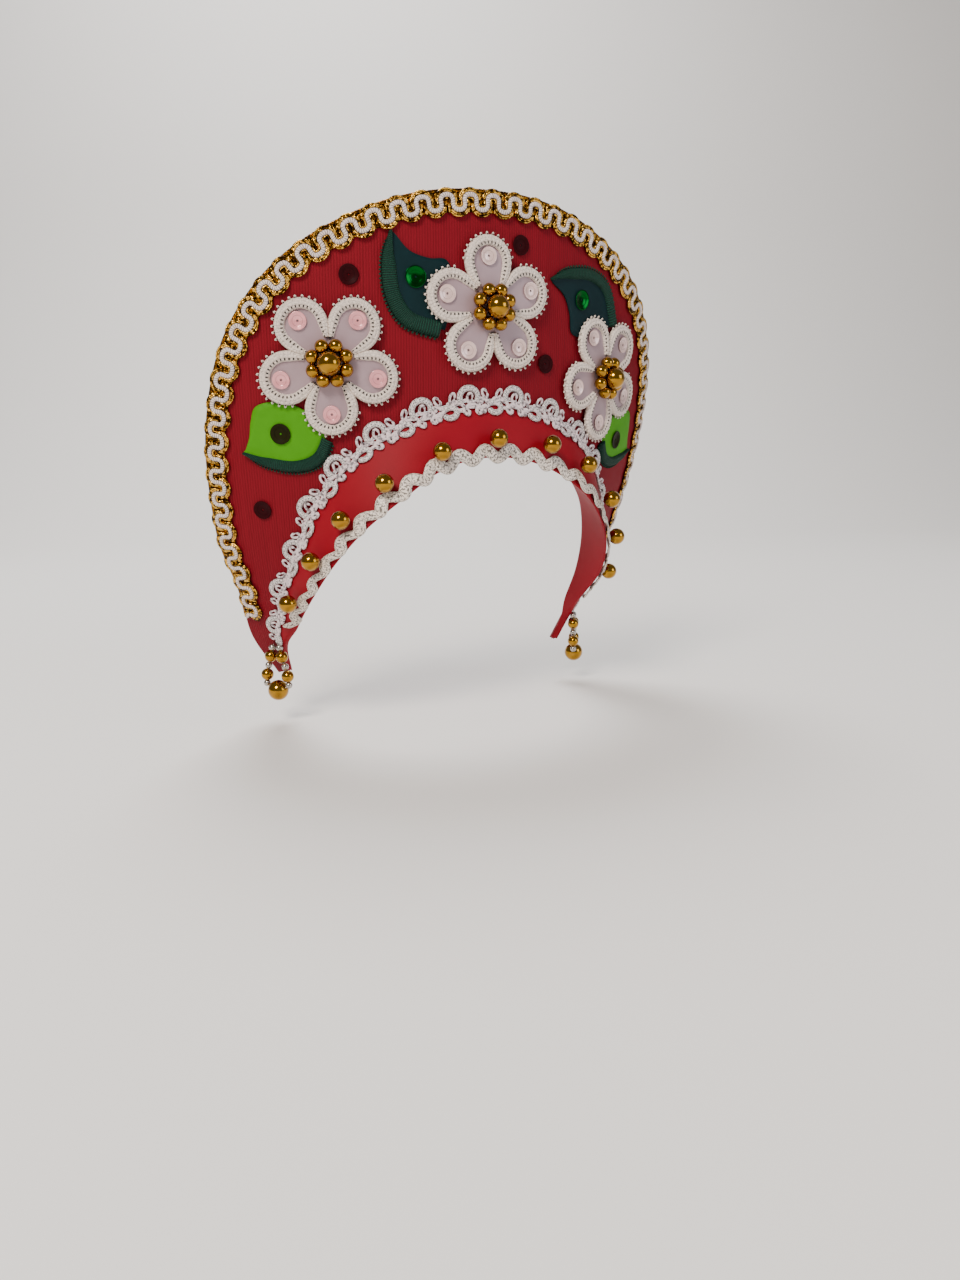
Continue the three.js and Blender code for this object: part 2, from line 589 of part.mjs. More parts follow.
function addPendant(name, side) {
  const top = onShield(side * PENDANT.x, PENDANT.z, PENDANT.lift);
  const normal = shieldNormal(side * PENDANT.x, PENDANT.z);
  const sideways = new THREE.Vector3(-normal.y, normal.x, 0).normalize();
  const hang = (across, drop) => {
    const p = top.clone().addScaledVector(sideways, across);
    return p.setZ(p.z - drop);
  };
  const down = PENDANT_STRING.map((r) => hang(-r.across, r.drop));
  const up = PENDANT_STRING.slice(0, -1).reverse().map((r) => hang(r.across, r.drop));
  const loop = new THREE.CatmullRomCurve3([...down, ...up]);
  const round = new THREE.EllipseCurve(0, 0, PENDANT.thread, PENDANT.thread);
  const section = new THREE.Shape(round.getPoints(PENDANT.sides).slice(0, -1));
  const thread = new THREE.ExtrudeGeometry(section, { steps: PENDANT.steps, extrudePath: loop });
  const strung = [closed(thread)];
  for (const row of PENDANT_STRING.filter((r) => r.bead > 0)) {
    const sides = row.across > 0 ? [-1, 1] : [1];
    strung.push(...sides.map((k) => ball(row.bead, hang(k * row.across, row.drop))));
  }
  addPiece(name, fused(strung), GILT);
}

addPendant('pendant_left', -1);
addPendant('pendant_right', 1);

export default headdress;
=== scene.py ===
import math

import bmesh
import bpy
import numpy as np
from mathutils import Matrix, Vector


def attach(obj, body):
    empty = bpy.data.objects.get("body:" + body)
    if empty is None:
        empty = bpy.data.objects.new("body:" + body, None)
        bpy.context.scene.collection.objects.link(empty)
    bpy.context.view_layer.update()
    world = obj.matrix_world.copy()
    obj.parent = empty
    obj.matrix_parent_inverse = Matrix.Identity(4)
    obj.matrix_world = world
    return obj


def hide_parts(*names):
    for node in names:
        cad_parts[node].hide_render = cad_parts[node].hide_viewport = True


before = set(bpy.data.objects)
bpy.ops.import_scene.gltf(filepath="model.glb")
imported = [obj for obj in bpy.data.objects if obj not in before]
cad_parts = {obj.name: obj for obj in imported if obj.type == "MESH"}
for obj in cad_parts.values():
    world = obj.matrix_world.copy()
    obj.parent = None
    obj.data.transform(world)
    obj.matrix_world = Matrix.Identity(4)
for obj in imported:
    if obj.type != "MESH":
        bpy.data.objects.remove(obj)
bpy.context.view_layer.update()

# Shield
# A stiff crescent of board, bent like part of a cone and covered in red cloth with a fine
# upright rib. The cloth is drawn tight over the board and turned under all round the edge.
MM = 0.001
SHIELD_WALL = 3
CONE_POINT_DROP = 150
CONE_SPREAD = 0.9
TIP_ROUNDING = 36
SHIELD_LEAN = math.tan(math.radians(3))
SHIELD_CELLS = (220, 34)
SHIELD_EDGE_ROUNDING = 0.8
RIB_SPACING = 1.3  # a real rib is 0.6 mm, drawn wider so that it shows
RIB_WAVE_SCALE = 1 / (RIB_SPACING * MM) / 20 * math.tau
RIB_DEPTH = 0.15
RIB_STREAKS = (900, 14, 1)  # about 1 mm wide and 70 mm tall
SHIELD_RED = "#7a0a1c"
SHIELD_RIB_RED = "#58050d"

# x and z of the outer edge and of the lace line, from the middle of the brow to the right tip.
EDGE_STATIONS = [
    (0, 125), (48, 118.6), (92, 96.4), (117.6, 63), (126, 19),
    (121, -29), (110.4, -60), (102.4, -87), (88.5, -110),
]
LACE_STATIONS = [
    (0, 31.7), (34, 25.5), (64.5, 8), (81.7, -15.5), (88.6, -40),
    (93.2, -61), (93, -79), (91, -93), (86, -108),
]


def linear(hex_colour):
    """An sRGB hex colour as linear red, green, blue and alpha."""
    channels = [int(hex_colour[i:i + 2], 16) / 255 for i in (1, 3, 5)]
    return [c / 12.92 if c <= 0.04045 else ((c + 0.055) / 1.055) ** 2.4 for c in channels] + [1]


def add(tree, kind, inputs=None, feeds=None, **settings):
    """Adds a node with its settings and links. An input is a value or another node's output,
    and feeds names the sockets that its own outputs run to."""
    node = tree.nodes.new(kind)
    for name, value in settings.items():
        setattr(node, name, value)
    for name, value in (inputs or {}).items():
        if isinstance(value, bpy.types.NodeSocket):
            tree.links.new(value, node.inputs[name])
        else:
            node.inputs[name].default_value = value
    for name, socket in (feeds or {}).items():
        tree.links.new(node.outputs[name], socket)
    return node


def new_material(name, colour, **shader_inputs):
    """A material with its shader. Returns the material, its tree and the shader."""
    material = bpy.data.materials.new(name)
    material.use_nodes = True
    tree = material.node_tree
    shader = tree.nodes["Principled BSDF"]
    shader.inputs["Base Color"].default_value = linear(colour)
    for socket, value in shader_inputs.items():
        shader.inputs[socket.replace("_", " ")].default_value = value
    return material, tree, shader


def shield_y(x, z):
    bend = CONE_SPREAD * np.hypot(z + CONE_POINT_DROP, TIP_ROUNDING)
    return x * x / (2 * bend) - SHIELD_LEAN * z


def unit(vectors):
    return vectors / np.linalg.norm(vectors, axis=-1, keepdims=True)


def shield_normal(x, z):
    reach = np.hypot(z + CONE_POINT_DROP, TIP_ROUNDING)
    bend = CONE_SPREAD * reach
    slope_z = -x * x / (2 * bend * reach) * (z + CONE_POINT_DROP) / reach - SHIELD_LEAN
    return unit(np.stack([x / bend, -np.ones_like(x), slope_z], -1))


def on_shield(x, z, lift):
    """Points on the front of the shield, lifted off it."""
    foot = np.stack([x, shield_y(x, z), z], -1)
    return foot + shield_normal(x, z) * np.expand_dims(lift + 0 * x, -1)


def through(points, place):
    """A smooth curve through points, read at places counted in points."""
    points = np.asarray(points, float)
    ends = [2 * points[:1] - points[1:2], points, 2 * points[-1:] - points[-2:-1]]
    padded = np.concatenate(ends)
    place = np.clip(np.asarray(place, float), 0, len(points) - 1)
    first = np.minimum(place.astype(int), len(points) - 2)
    f = (place - first)[..., None]
    a, b, c, d = (padded[first + k] for k in range(4))
    cubic = 3 * b - a - 3 * c + d
    square = 2 * a - 5 * b + 4 * c - d
    return b + 0.5 * f * (c - a + f * (square + f * cubic))


def through_mirrored(rows, station):
    """A curve through rows and their mirror images. Station 0 is the middle."""
    right = np.asarray(rows, float)
    left = right[:0:-1].copy()
    left[:, 0] *= -1
    return through(np.concatenate([left, right]), np.asarray(station, float) + len(rows) - 1)


def laid_grid(cells, place, uv_size=(1, 1)):
    """A grid whose points are laid by place(u, v), with a UV map of the given size."""
    bm = bmesh.new()
    bmesh.ops.create_grid(bm, x_segments=cells[0], y_segments=cells[1], size=0.5)
    flat = np.array([v.co[:2] for v in bm.verts]) + 0.5
    uv = bm.loops.layers.uv.new("UVMap")
    for face in bm.faces:
        for loop in face.loops:
            loop[uv].uv = flat[loop.vert.index] * uv_size
    for vert, point in zip(bm.verts, place(flat[:, 0], flat[:, 1])):
        vert.co = point
    return bm


def show(name, bm, finish, slot, *nodes):
    """Makes a piece of a bmesh in millimetres, and has it stand for CAD nodes."""
    bmesh.ops.scale(bm, vec=(MM, MM, MM), verts=bm.verts)
    mesh = bpy.data.meshes.new(name)
    bm.to_mesh(mesh)
    bm.free()
    mesh.shade_smooth()
    mesh.materials.append(finish)
    piece = bpy.data.objects.new(name, mesh)
    bpy.context.scene.collection.objects.link(piece)
    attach(piece, "root")
    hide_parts(*nodes)
    return piece


def thicken(piece, wall, rounding=0.0):
    """Gives a sheet its wall, away from its front, and rounds its edges."""
    solid = piece.modifiers.new("wall", "SOLIDIFY")
    solid.thickness = wall * MM
    solid.offset = -1
    if rounding:
        bevel = piece.modifiers.new("rounded edge", "BEVEL")
        bevel.width = rounding * MM
        bevel.segments = 3
        bevel.limit_method = "ANGLE"
        bevel.angle_limit = math.radians(50)


def face_towards(bm, direction):
    """Turns the faces of an open sheet so that their fronts point along a direction."""
    bm.normal_update()
    facing = sum((f.normal for f in bm.faces), Vector())
    if facing.dot(Vector(direction)) < 0:
        bmesh.ops.reverse_faces(bm, faces=bm.faces)


# Ribbed polyester cloth, woven with upright ribs. The ribs give it a fine striped, matt red.
def ribbed_cloth():
    material, tree, shader = new_material("ribbed red polyester", SHIELD_RED, Roughness=0.72)
    shader.inputs["Specular IOR Level"].default_value = 0.15
    place = add(tree, "ShaderNodeUVMap", uv_map="UVMap")
    streak = add(tree, "ShaderNodeMapping", {"Vector": place.outputs["UV"], "Scale": RIB_STREAKS})
    noise = add(tree, "ShaderNodeTexNoise", {"Vector": streak.outputs["Vector"], "Scale": 1.0})
    ribs = add(
        tree, "ShaderNodeTexWave",
        {"Vector": place.outputs["UV"], "Scale": RIB_WAVE_SCALE, "Distortion": 0.4},
        wave_type="BANDS", bands_direction="X", wave_profile="SIN",
    )
    both = add(
        tree, "ShaderNodeMath", {0: ribs.outputs["Fac"], 1: noise.outputs["Fac"]},
        operation="MULTIPLY",
    )
    add(
        tree, "ShaderNodeMix",
        {"Factor": both.outputs["Value"], "A": linear(SHIELD_RED), "B": linear(SHIELD_RIB_RED)},
        {"Result": shader.inputs["Base Color"]}, data_type="RGBA",
    )
    add(
        tree, "ShaderNodeBump",
        {"Height": ribs.outputs["Fac"], "Distance": RIB_DEPTH * MM, "Strength": 0.5},
        {"Normal": shader.inputs["Normal"]},
    )
    return material


def shield_point(u, v):
    station = (2 * u - 1) * (len(EDGE_STATIONS) - 1)
    edge = through_mirrored(EDGE_STATIONS, station)
    lace = through_mirrored(LACE_STATIONS, station)
    p = lace + (edge - lace) * v[:, None]
    return on_shield(p[:, 0], p[:, 1], 0)


shield_bm = laid_grid(SHIELD_CELLS, shield_point)
face_towards(shield_bm, (0, -1, 0))
rib_uv = shield_bm.loops.layers.uv["UVMap"]
for cloth_face in shield_bm.faces:
    for cloth_loop in cloth_face.loops:
        point = cloth_loop.vert.co
        bend_radius = CONE_SPREAD * math.hypot(point.z + CONE_POINT_DROP, TIP_ROUNDING)
        slope = point.x / bend_radius
        run = 0.5 * (point.x * math.hypot(1, slope) + bend_radius * math.asinh(slope))
        cloth_loop[rib_uv].uv = (run * MM, point.z * MM)
RIBBED_CLOTH = ribbed_cloth()
shield_cloth = show("shield_cloth", shield_bm, RIBBED_CLOTH, "red_cloth", "shield")
thicken(shield_cloth, SHIELD_WALL, SHIELD_EDGE_ROUNDING)

# Brow band
# A band of smooth red cloth over thin card: a flap hangs forward from the lace line to a
# fold, and the band turns back there as a seat that rests on the forehead and temples.
BAND_WALL = 1.6
BAND_EDGE_ROUNDING = 0.5
BAND_BULGE = 1.4
FLAP_TUCK = 0.6  # how far the flap's top stays below the lace line
SEAT_SHARE = 0.4  # share of the cells across the band that lie on the seat
FOLD_LAP = 2.5
FOLD_SIDES = {"start": 0.5, "length": 2, "extra": 2.1}  # stations over which the lap widens
FOLD_TIP = {"start": 6, "length": 1.5, "share": 0.24}  # stations over which the lap narrows
FOLD_ROUNDING = 1.6
FOLD_CORNER = 0.45  # share of the rounding that the fold is drawn in by
BAND_CELLS = (180, 26)
BAND_RED = "#8f0a1e"
BAND_SHADE_RED = "#820819"
BAND_MOTTLE_SCALE = 45.0  # patches about 20 mm across
BAND_WEAVE_SCALE = 1400.0  # a grain of 0.7 mm, coarser than the real threads so that it shows
BAND_WEAVE_DEPTH = 0.1

# Tape line along the fold, and the back edge of the seat: x, y, z from the middle to the tip.
TAPE_STATIONS = [
    (0, -6.1, 5.7), (28, -6, 0.7), (50.5, -5.3, -11.7), (67.1, 3.8, -26.5),
    (78.8, 15.6, -43.6), (85.8, 32.5, -61.9), (88, 56.5, -79.6), (89, 71, -92.5),
    (84.6, 78.2, -107),
]
SEAT_STATIONS = [
    (0, 18, 12), (27, 19, 9), (52, 21, -2), (69.5, 29, -18),
    (78.5, 39, -39), (83, 52, -61), (84, 66, -81), (86, 74, -94), (82.7, 79.8, -108),
]
STEP = 0.01


def along_tape(station):
    ahead = through_mirrored(TAPE_STATIONS, station + STEP)
    return unit(ahead - through_mirrored(TAPE_STATIONS, station - STEP))


def eased(value):
    """A smooth step from 0 to 1."""
    held = np.clip(value, 0, 1)
    return held * held * (3 - 2 * held)


def fold_lap(station):
    """How far the middle of the tape lies above the fold."""
    away = np.abs(station)
    widened = eased((away - FOLD_SIDES["start"]) / FOLD_SIDES["length"])
    narrowed = eased((away - FOLD_TIP["start"]) / FOLD_TIP["length"])
    return (FOLD_LAP + FOLD_SIDES["extra"] * widened) * (1 - (1 - FOLD_TIP["share"]) * narrowed)


def band_section(station):
    """Top and fold of the flap, its rise and front directions, and the back of the seat."""
    lace = through_mirrored(LACE_STATIONS, station)
    top = on_shield(lace[:, 0], lace[:, 1], 0)
    tape = through_mirrored(TAPE_STATIONS, station)
    rise = unit(top - tape)
    fold = tape - fold_lap(station)[:, None] * rise
    front = unit(np.cross(along_tape(station), rise))
    return top - FLAP_TUCK * rise, fold, rise, front, through_mirrored(SEAT_STATIONS, station)


def on_flap(station, rise_mm, lift):
    """Points on the front of the flap, measured up from the fold, and their normals."""
    top, fold, rise, front, seat = band_section(station)
    length = np.linalg.norm(top - fold, axis=-1)
    part = rise_mm / length
    bulge = 4 * BAND_BULGE * part * (1 - part)
    slope = 4 * BAND_BULGE * (1 - 2 * part) / length
    normal = unit(front - rise * slope[:, None])
    foot = fold + rise * rise_mm[:, None] + front * bulge[:, None]
    return foot + normal * np.expand_dims(lift, -1), normal


def band_point(u, v):
    """The band's outer face, from the seat's back edge at v 0 round the fold to the lace line."""
    station = (2 * u - 1) * (len(TAPE_STATIONS) - 1)
    top, fold, rise, front, seat = band_section(station)
    back = unit(seat - fold)
    seat_run = np.linalg.norm(seat - fold, axis=-1)
    flap_run = np.linalg.norm(top - fold, axis=-1)
    on_seat_run = (v / SEAT_SHARE - 1) * seat_run
    on_flap_run = (v - SEAT_SHARE) / (1 - SEAT_SHARE) * flap_run
    distance = np.where(v < SEAT_SHARE, on_seat_run, on_flap_run)
    part = np.clip(distance / flap_run, 0, 1)
    bulge = 4 * BAND_BULGE * part * (1 - part)
    on_seat = np.maximum(-distance, 0)[:, None] * back
    on_front = np.maximum(distance, 0)[:, None] * rise + front * bulge[:, None]
    near = np.exp(-np.abs(distance) / FOLD_ROUNDING)[:, None]
    corner = unit(back + rise) * near * FOLD_ROUNDING * FOLD_CORNER
    return fold + on_seat + on_front + corner


# Smooth polyester satin cloth, evenly dyed and pressed flat. It is a clear red with a soft gloss.
def band_cloth():
    material, tree, shader = new_material("smooth red satin cloth", BAND_RED, Roughness=0.58)
    shader.inputs["Specular IOR Level"].default_value = 0.15
    place = add(tree, "ShaderNodeTexCoord")
    broad = add(
        tree, "ShaderNodeTexNoise",
        {"Vector": place.outputs["Object"], "Scale": BAND_MOTTLE_SCALE},
    )
    add(
        tree, "ShaderNodeMix",
        {"Factor": broad.outputs["Fac"], "A": linear(BAND_RED), "B": linear(BAND_SHADE_RED)},
        {"Result": shader.inputs["Base Color"]}, data_type="RGBA",
    )
    weave = add(
        tree, "ShaderNodeTexNoise",
        {"Vector": place.outputs["Object"], "Scale": BAND_WEAVE_SCALE},
    )
    add(
        tree, "ShaderNodeBump",
        {"Height": weave.outputs["Fac"], "Distance": BAND_WEAVE_DEPTH * MM, "Strength": 0.35},
        {"Normal": shader.inputs["Normal"]},
    )
    return material


band_bm = laid_grid(BAND_CELLS, band_point)
face_towards(band_bm, (0, -1, 0))
BAND_CLOTH = band_cloth()
brow_band_cloth = show("brow_band_cloth", band_bm, BAND_CLOTH, "red_cloth", "brow_band")
thicken(brow_band_cloth, BAND_WALL, BAND_EDGE_ROUNDING)

# Gold braid
# A gimp of gold lurex cord along the outer edge, with a flat white chain cord that runs over
# it in round turns. Thick gold cord fills out the turns on the inner side. It is sewn on.
BRAID_WIDTH = 13
BRAID_REPEAT = 11.5
BRAID_END = 6.55
BRAID_LIFT = 0.4
BRAID_MIDDLE = 5.7  # from the outer edge to the middle of the turns
BRAID_STEPS = 22
WHITE_CORD = {"width": 2.0, "height": 1.3, "swing": 3.3, "round": 1.05, "sunk": 0.2}
GOLD_STRIPS = [(0.7, 1.8), (2.9, 2.6), (BRAID_MIDDLE, 3.4), (8.7, 2.6)]  # distance in, and width
GOLD_STRIP_HEIGHT = 0.7
GOLD_CORD_WIDTH = 1.0
GOLD_BESIDE = {"offset": 1.55, "lift": 0.5, "tall": 1.1}  # a cord on each side of the white one
GOLD_LOBE = {"sweep": 1.5, "start": 1.3, "full": 1.3, "steps": 13, "tall": 1.2}
GOLD_LOBE_CORDS = [(1.75, 1.1), (2.7, 0.8)]  # reach from the white cord, and lift
GOLD_BAR = {"width": 0.8, "height": 1.0, "lift": 0.9, "beside": 0.8}  # short cords in the turns
GOLD_BAR_RUN = {"start": -0.2, "end": 4.4, "steps": 5}
TRIM_SAMPLES = 801
CORD_END_SHARE = 0.35  # how far a cord narrows at its end
GOLD_YARN = "#e3b24e"
# dark brown mixed into the gold cords in patches: painted shade between the strands
GOLD_YARN_PAINTED_SHADE = "#3d2304"
# the ground strips are gold drawn dark: painted shade for the pockets between the raised cords
GOLD_GROUND_IN_PAINTED_SHADE = "#8f5c18"
GOLD_GROUND_PAINTED_DEEP_SHADE = "#3a2105"
WHITE_YARN = "#e9dad4"
# greyed white for painted shade between the knitted loops
WHITE_YARN_PAINTED_SHADE = "#8f7d77"
GOLD_TWIST_SCALE = 330.0  # a turn in 1.9 mm
GOLD_PAINTED_GLINT_SCALE = 620.0  # painted glints and patches of painted shade about 1.6 mm long
GOLD_TWIST_DEPTH = 0.5
CHAIN_SCALE = 620.0  # a loop in 1 mm
CHAIN_PAINTED_SHADE_SCALE = 700.0  # patches of painted shade about 1.4 mm across
CHAIN_DEPTH = 0.15


def even_stations(end, point_at):
    """Even spacing along a trim: its length, and the station at each distance along it."""
    stations = np.linspace(-end, end, TRIM_SAMPLES)
    steps = np.linalg.norm(np.diff(point_at(stations), axis=0), axis=1)
    distances = np.concatenate([[0], np.cumsum(steps)])
    return distances[-1], lambda run: np.interp(run, distances, stations)


def beside_edge(station, inward, lift):
    """Points on the shield at a distance inside its outer edge, and the surface's normals."""
    ahead = through_mirrored(EDGE_STATIONS, station + STEP)
    behind = through_mirrored(EDGE_STATIONS, station - STEP)
    here = through_mirrored(EDGE_STATIONS, station)
    edge = on_shield(here[:, 0], here[:, 1], 0)
    along = unit(on_shield(ahead[:, 0], ahead[:, 1], 0) - on_shield(behind[:, 0], behind[:, 1], 0))
    inside = np.cross(along, shield_normal(here[:, 0], here[:, 1]))
    p = edge + inside * np.expand_dims(inward, -1)
    return on_shield(p[:, 0], p[:, 2], lift), shield_normal(p[:, 0], p[:, 2])


def add_strand(bm, path, normals, width, height, sides=6):
    """Adds a cord of oval section along a path, flat side to the normals, with rounded ends."""
    uv = bm.loops.layers.uv.get("UVMap") or bm.loops.layers.uv.new("UVMap")
    cells = len(path) - 1
    along = unit(np.gradient(path, axis=0))
    side = unit(np.cross(along, normals))
    up = np.cross(side, along)
    made = bmesh.ops.create_grid(bm, x_segments=cells, y_segments=sides, size=0.5)["verts"]
    flat = np.array([v.co[:2] for v in made]) + 0.5
    step = np.rint(flat[:, 0] * cells).astype(int)
    turn = flat[:, 1] * math.tau
    taper = np.where((step == 0) | (step == cells), CORD_END_SHARE, 1.0)
    across = (np.cos(turn) * taper * 0.5)[:, None] * width
    above = (np.sin(turn) * taper * 0.5)[:, None] * height
    points = path[step] + side[step] * across + up[step] * above
    run = np.concatenate([[0], np.cumsum(np.linalg.norm(np.diff(path, axis=0), axis=1))]) * MM
    texture = {v: (run[k], t) for v, k, t in zip(made, step, flat[:, 1])}
    for face in {f for v in made for f in v.link_faces}:
        for loop in face.loops:
            loop[uv].uv = texture[loop.vert]
    for vert, point in zip(made, points):
        vert.co = point


def close_strands(bm):
    """Merges the seams of cords, closes their ends and turns their faces outwards."""
    bmesh.ops.remove_doubles(bm, verts=bm.verts, dist=1e-5)
    bmesh.ops.holes_fill(bm, edges=[e for e in bm.edges if e.is_boundary])
    bmesh.ops.recalc_face_normals(bm, faces=bm.faces)


# Gold lurex: foil slit into flat yarn and twisted round a core. Its twist breaks up the gleam,
# and painted glints and patches of painted shade are mixed into its colour.
def lurex_cord(name, bright, dark):
    material, tree, shader = new_material(name, bright, Metallic=1.0, Roughness=0.24)
    place = add(tree, "ShaderNodeUVMap", uv_map="UVMap")
    slant = add(tree, "ShaderNodeMapping", {"Vector": place.outputs["UV"], "Scale": (1, 0.0009, 1)})
    twist = add(
        tree, "ShaderNodeTexWave",
        {"Vector": slant.outputs["Vector"], "Scale": GOLD_TWIST_SCALE, "Distortion": 0.6},
        wave_type="BANDS", bands_direction="DIAGONAL",
    )
    solid = add(tree, "ShaderNodeTexCoord")
    noise = add(
        tree, "ShaderNodeTexNoise",
        {"Vector": solid.outputs["Object"], "Scale": GOLD_PAINTED_GLINT_SCALE},
    )
    grain = add(
        tree, "ShaderNodeMath", {0: twist.outputs["Fac"], 1: noise.outputs["Fac"]},
        operation="MULTIPLY",
    )
    # painted glints and painted shade: noise mixes the bright colour with the dark one in patches
    painted_glints_and_shade = add(
        tree, "ShaderNodeMapRange",
        {"Value": noise.outputs["Fac"], "From Min": 0.46, "From Max": 0.56},
    )
    add(
        tree, "ShaderNodeMix",
        {"Factor": painted_glints_and_shade.outputs["Result"], "A": linear(bright), "B": linear(dark)},
        {"Result": shader.inputs["Base Color"]}, data_type="RGBA",
    )
    add(
        tree, "ShaderNodeBump",
        {"Height": grain.outputs["Value"], "Distance": GOLD_TWIST_DEPTH * MM, "Strength": 0.9},
        {"Normal": shader.inputs["Normal"]},
    )
    return material


# Bleached cotton chain cord. Its knitted loops show as small slanting ridges along both sides,
# and painted shade along the loops and in patches darkens the white.
def cotton_cord():
    material, tree, shader = new_material("white cotton cord", WHITE_YARN, Roughness=0.85)
    shader.inputs["Sheen Weight"].default_value = 0.2
    place = add(tree, "ShaderNodeUVMap", uv_map="UVMap")
    slant = add(tree, "ShaderNodeMapping", {"Vector": place.outputs["UV"], "Scale": (1, 0.0012, 1)})
    chain = add(
        tree, "ShaderNodeTexWave",
        {"Vector": slant.outputs["Vector"], "Scale": CHAIN_SCALE, "Distortion": 1.5},
        wave_type="BANDS", bands_direction="DIAGONAL",
    )
    solid = add(tree, "ShaderNodeTexCoord")
    noise = add(
        tree, "ShaderNodeTexNoise",
        {"Vector": solid.outputs["Object"], "Scale": CHAIN_PAINTED_SHADE_SCALE},
    )
    # painted shade between the knitted loops, broken into patches
    shade = add(
        tree, "ShaderNodeMath", {0: chain.outputs["Fac"], 1: noise.outputs["Fac"]},
        operation="MULTIPLY",
    )
    deep = add(
        tree, "ShaderNodeMapRange",
        {"Value": shade.outputs["Value"], "From Min": 0.15, "From Max": 0.5},
    )
    add(
        tree, "ShaderNodeMix",
        {"Factor": deep.outputs["Result"], "A": linear(WHITE_YARN), "B": linear(WHITE_YARN_PAINTED_SHADE)},
        {"Result": shader.inputs["Base Color"]}, data_type="RGBA",
    )
    add(
        tree, "ShaderNodeBump",
        {"Height": chain.outputs["Fac"], "Distance": CHAIN_DEPTH * MM, "Strength": 0.6},
        {"Normal": shader.inputs["Normal"]},
    )
    return material


braid_length, braid_station = even_stations(
    BRAID_END, lambda station: beside_edge(station, BRAID_WIDTH / 2 + 0 * station, 0)[0],
)
braid_repeats = round(braid_length / BRAID_REPEAT)
braid_pitch = braid_length / braid_repeats


def serpentine(turn):
    """Run and inward distance of the white cord's middle, with its direction across."""
    run = braid_pitch * turn / math.tau + WHITE_CORD["round"] * np.sin(2 * turn)
    inward = BRAID_MIDDLE - WHITE_CORD["swing"] * np.cos(turn)
    path = np.stack([run, inward], -1)
    along = unit(np.gradient(path, axis=0))
    return path, np.stack([-along[:, 1], along[:, 0]], -1)


def lay_on_braid(path, lift):
    return beside_edge(braid_station(path[:, 0]), path[:, 1], lift)


braid_turns = np.linspace(0, math.tau * braid_repeats, braid_repeats * BRAID_STEPS + 1)
cord_path, cord_side = serpentine(braid_turns)
white_bm = bmesh.new()
white_lift = BRAID_LIFT + GOLD_CORD_WIDTH + WHITE_CORD["height"] / 2 - WHITE_CORD["sunk"]
add_strand(
    white_bm, *lay_on_braid(cord_path, white_lift + 0 * braid_turns),
    WHITE_CORD["width"], WHITE_CORD["height"], sides=8,
)
close_strands(white_bm)
COTTON_CORD = cotton_cord()
show("braid_white_cord", white_bm, COTTON_CORD, "white_trim")

# Ground strips of gold lurex under the cords, coloured dark as painted shade in the pockets.
ground_bm = bmesh.new()
ground_run = np.linspace(0, braid_length, braid_repeats * 6 + 1)
ground_lift = BRAID_LIFT + GOLD_STRIP_HEIGHT / 2 + 0 * ground_run
for ground_inward, ground_width in GOLD_STRIPS:
    ground_path = np.stack([ground_run, ground_inward + 0 * ground_run], -1)
    add_strand(ground_bm, *lay_on_braid(ground_path, ground_lift), ground_width, GOLD_STRIP_HEIGHT)
close_strands(ground_bm)
PAINTED_SHADE_LUREX = lurex_cord("gold lurex with painted shade", GOLD_GROUND_IN_PAINTED_SHADE, GOLD_GROUND_PAINTED_DEEP_SHADE)
show("braid_gold_ground", ground_bm, PAINTED_SHADE_LUREX, "gold_braid")

gold_bm = bmesh.new()
gold_lift = BRAID_LIFT + GOLD_CORD_WIDTH / 2 + GOLD_BESIDE["lift"] + 0 * braid_turns
for way in (-1, 1):
    gold_path = cord_path + cord_side * way * GOLD_BESIDE["offset"]
    gold_height = GOLD_CORD_WIDTH * GOLD_BESIDE["tall"]
    add_strand(gold_bm, *lay_on_braid(gold_path, gold_lift), GOLD_CORD_WIDTH, gold_height)
lobe_spread = np.linspace(-GOLD_LOBE["sweep"], GOLD_LOBE["sweep"], GOLD_LOBE["steps"])
lobe_full = np.linspace(-GOLD_LOBE["full"], GOLD_LOBE["full"], GOLD_LOBE["steps"])
fullness = np.cos(lobe_full)[:, None]
bar_reach = np.linspace(GOLD_BAR_RUN["start"], GOLD_BAR_RUN["end"], GOLD_BAR_RUN["steps"])
for repeat in range(braid_repeats):
    for pocket, way in ((0.5, 1), (1.0, -1)):
        lobe = (repeat + pocket) * math.tau + lobe_spread
        lobe_path, lobe_side = serpentine(lobe)
        for reach, lift in GOLD_LOBE_CORDS:
            out = GOLD_LOBE["start"] + (reach - GOLD_LOBE["start"]) * fullness
            crescent = lobe_path + way * lobe_side * out
            add_strand(
                gold_bm, *lay_on_braid(crescent, BRAID_LIFT + lift + 0 * lobe),
                GOLD_CORD_WIDTH, GOLD_CORD_WIDTH * GOLD_LOBE["tall"],
            )
    for pocket, reach in ((0.0, 1), (0.5, -1)):
        for beside in (-GOLD_BAR["beside"], GOLD_BAR["beside"]):
            bar_run = (repeat + pocket) * braid_pitch + beside + 0 * bar_reach
            bar_path = np.stack([bar_run, BRAID_MIDDLE + reach * bar_reach], -1)
            add_strand(
                gold_bm, *lay_on_braid(bar_path, BRAID_LIFT + GOLD_BAR["lift"] + 0 * bar_run),
                GOLD_BAR["width"], GOLD_BAR["height"],
            )
close_strands(gold_bm)
LUREX_CORD = lurex_cord("gold lurex cord", GOLD_YARN, GOLD_YARN_PAINTED_SHADE)
show("braid_gold_cords", gold_bm, LUREX_CORD, "gold_braid", "gold_braid")

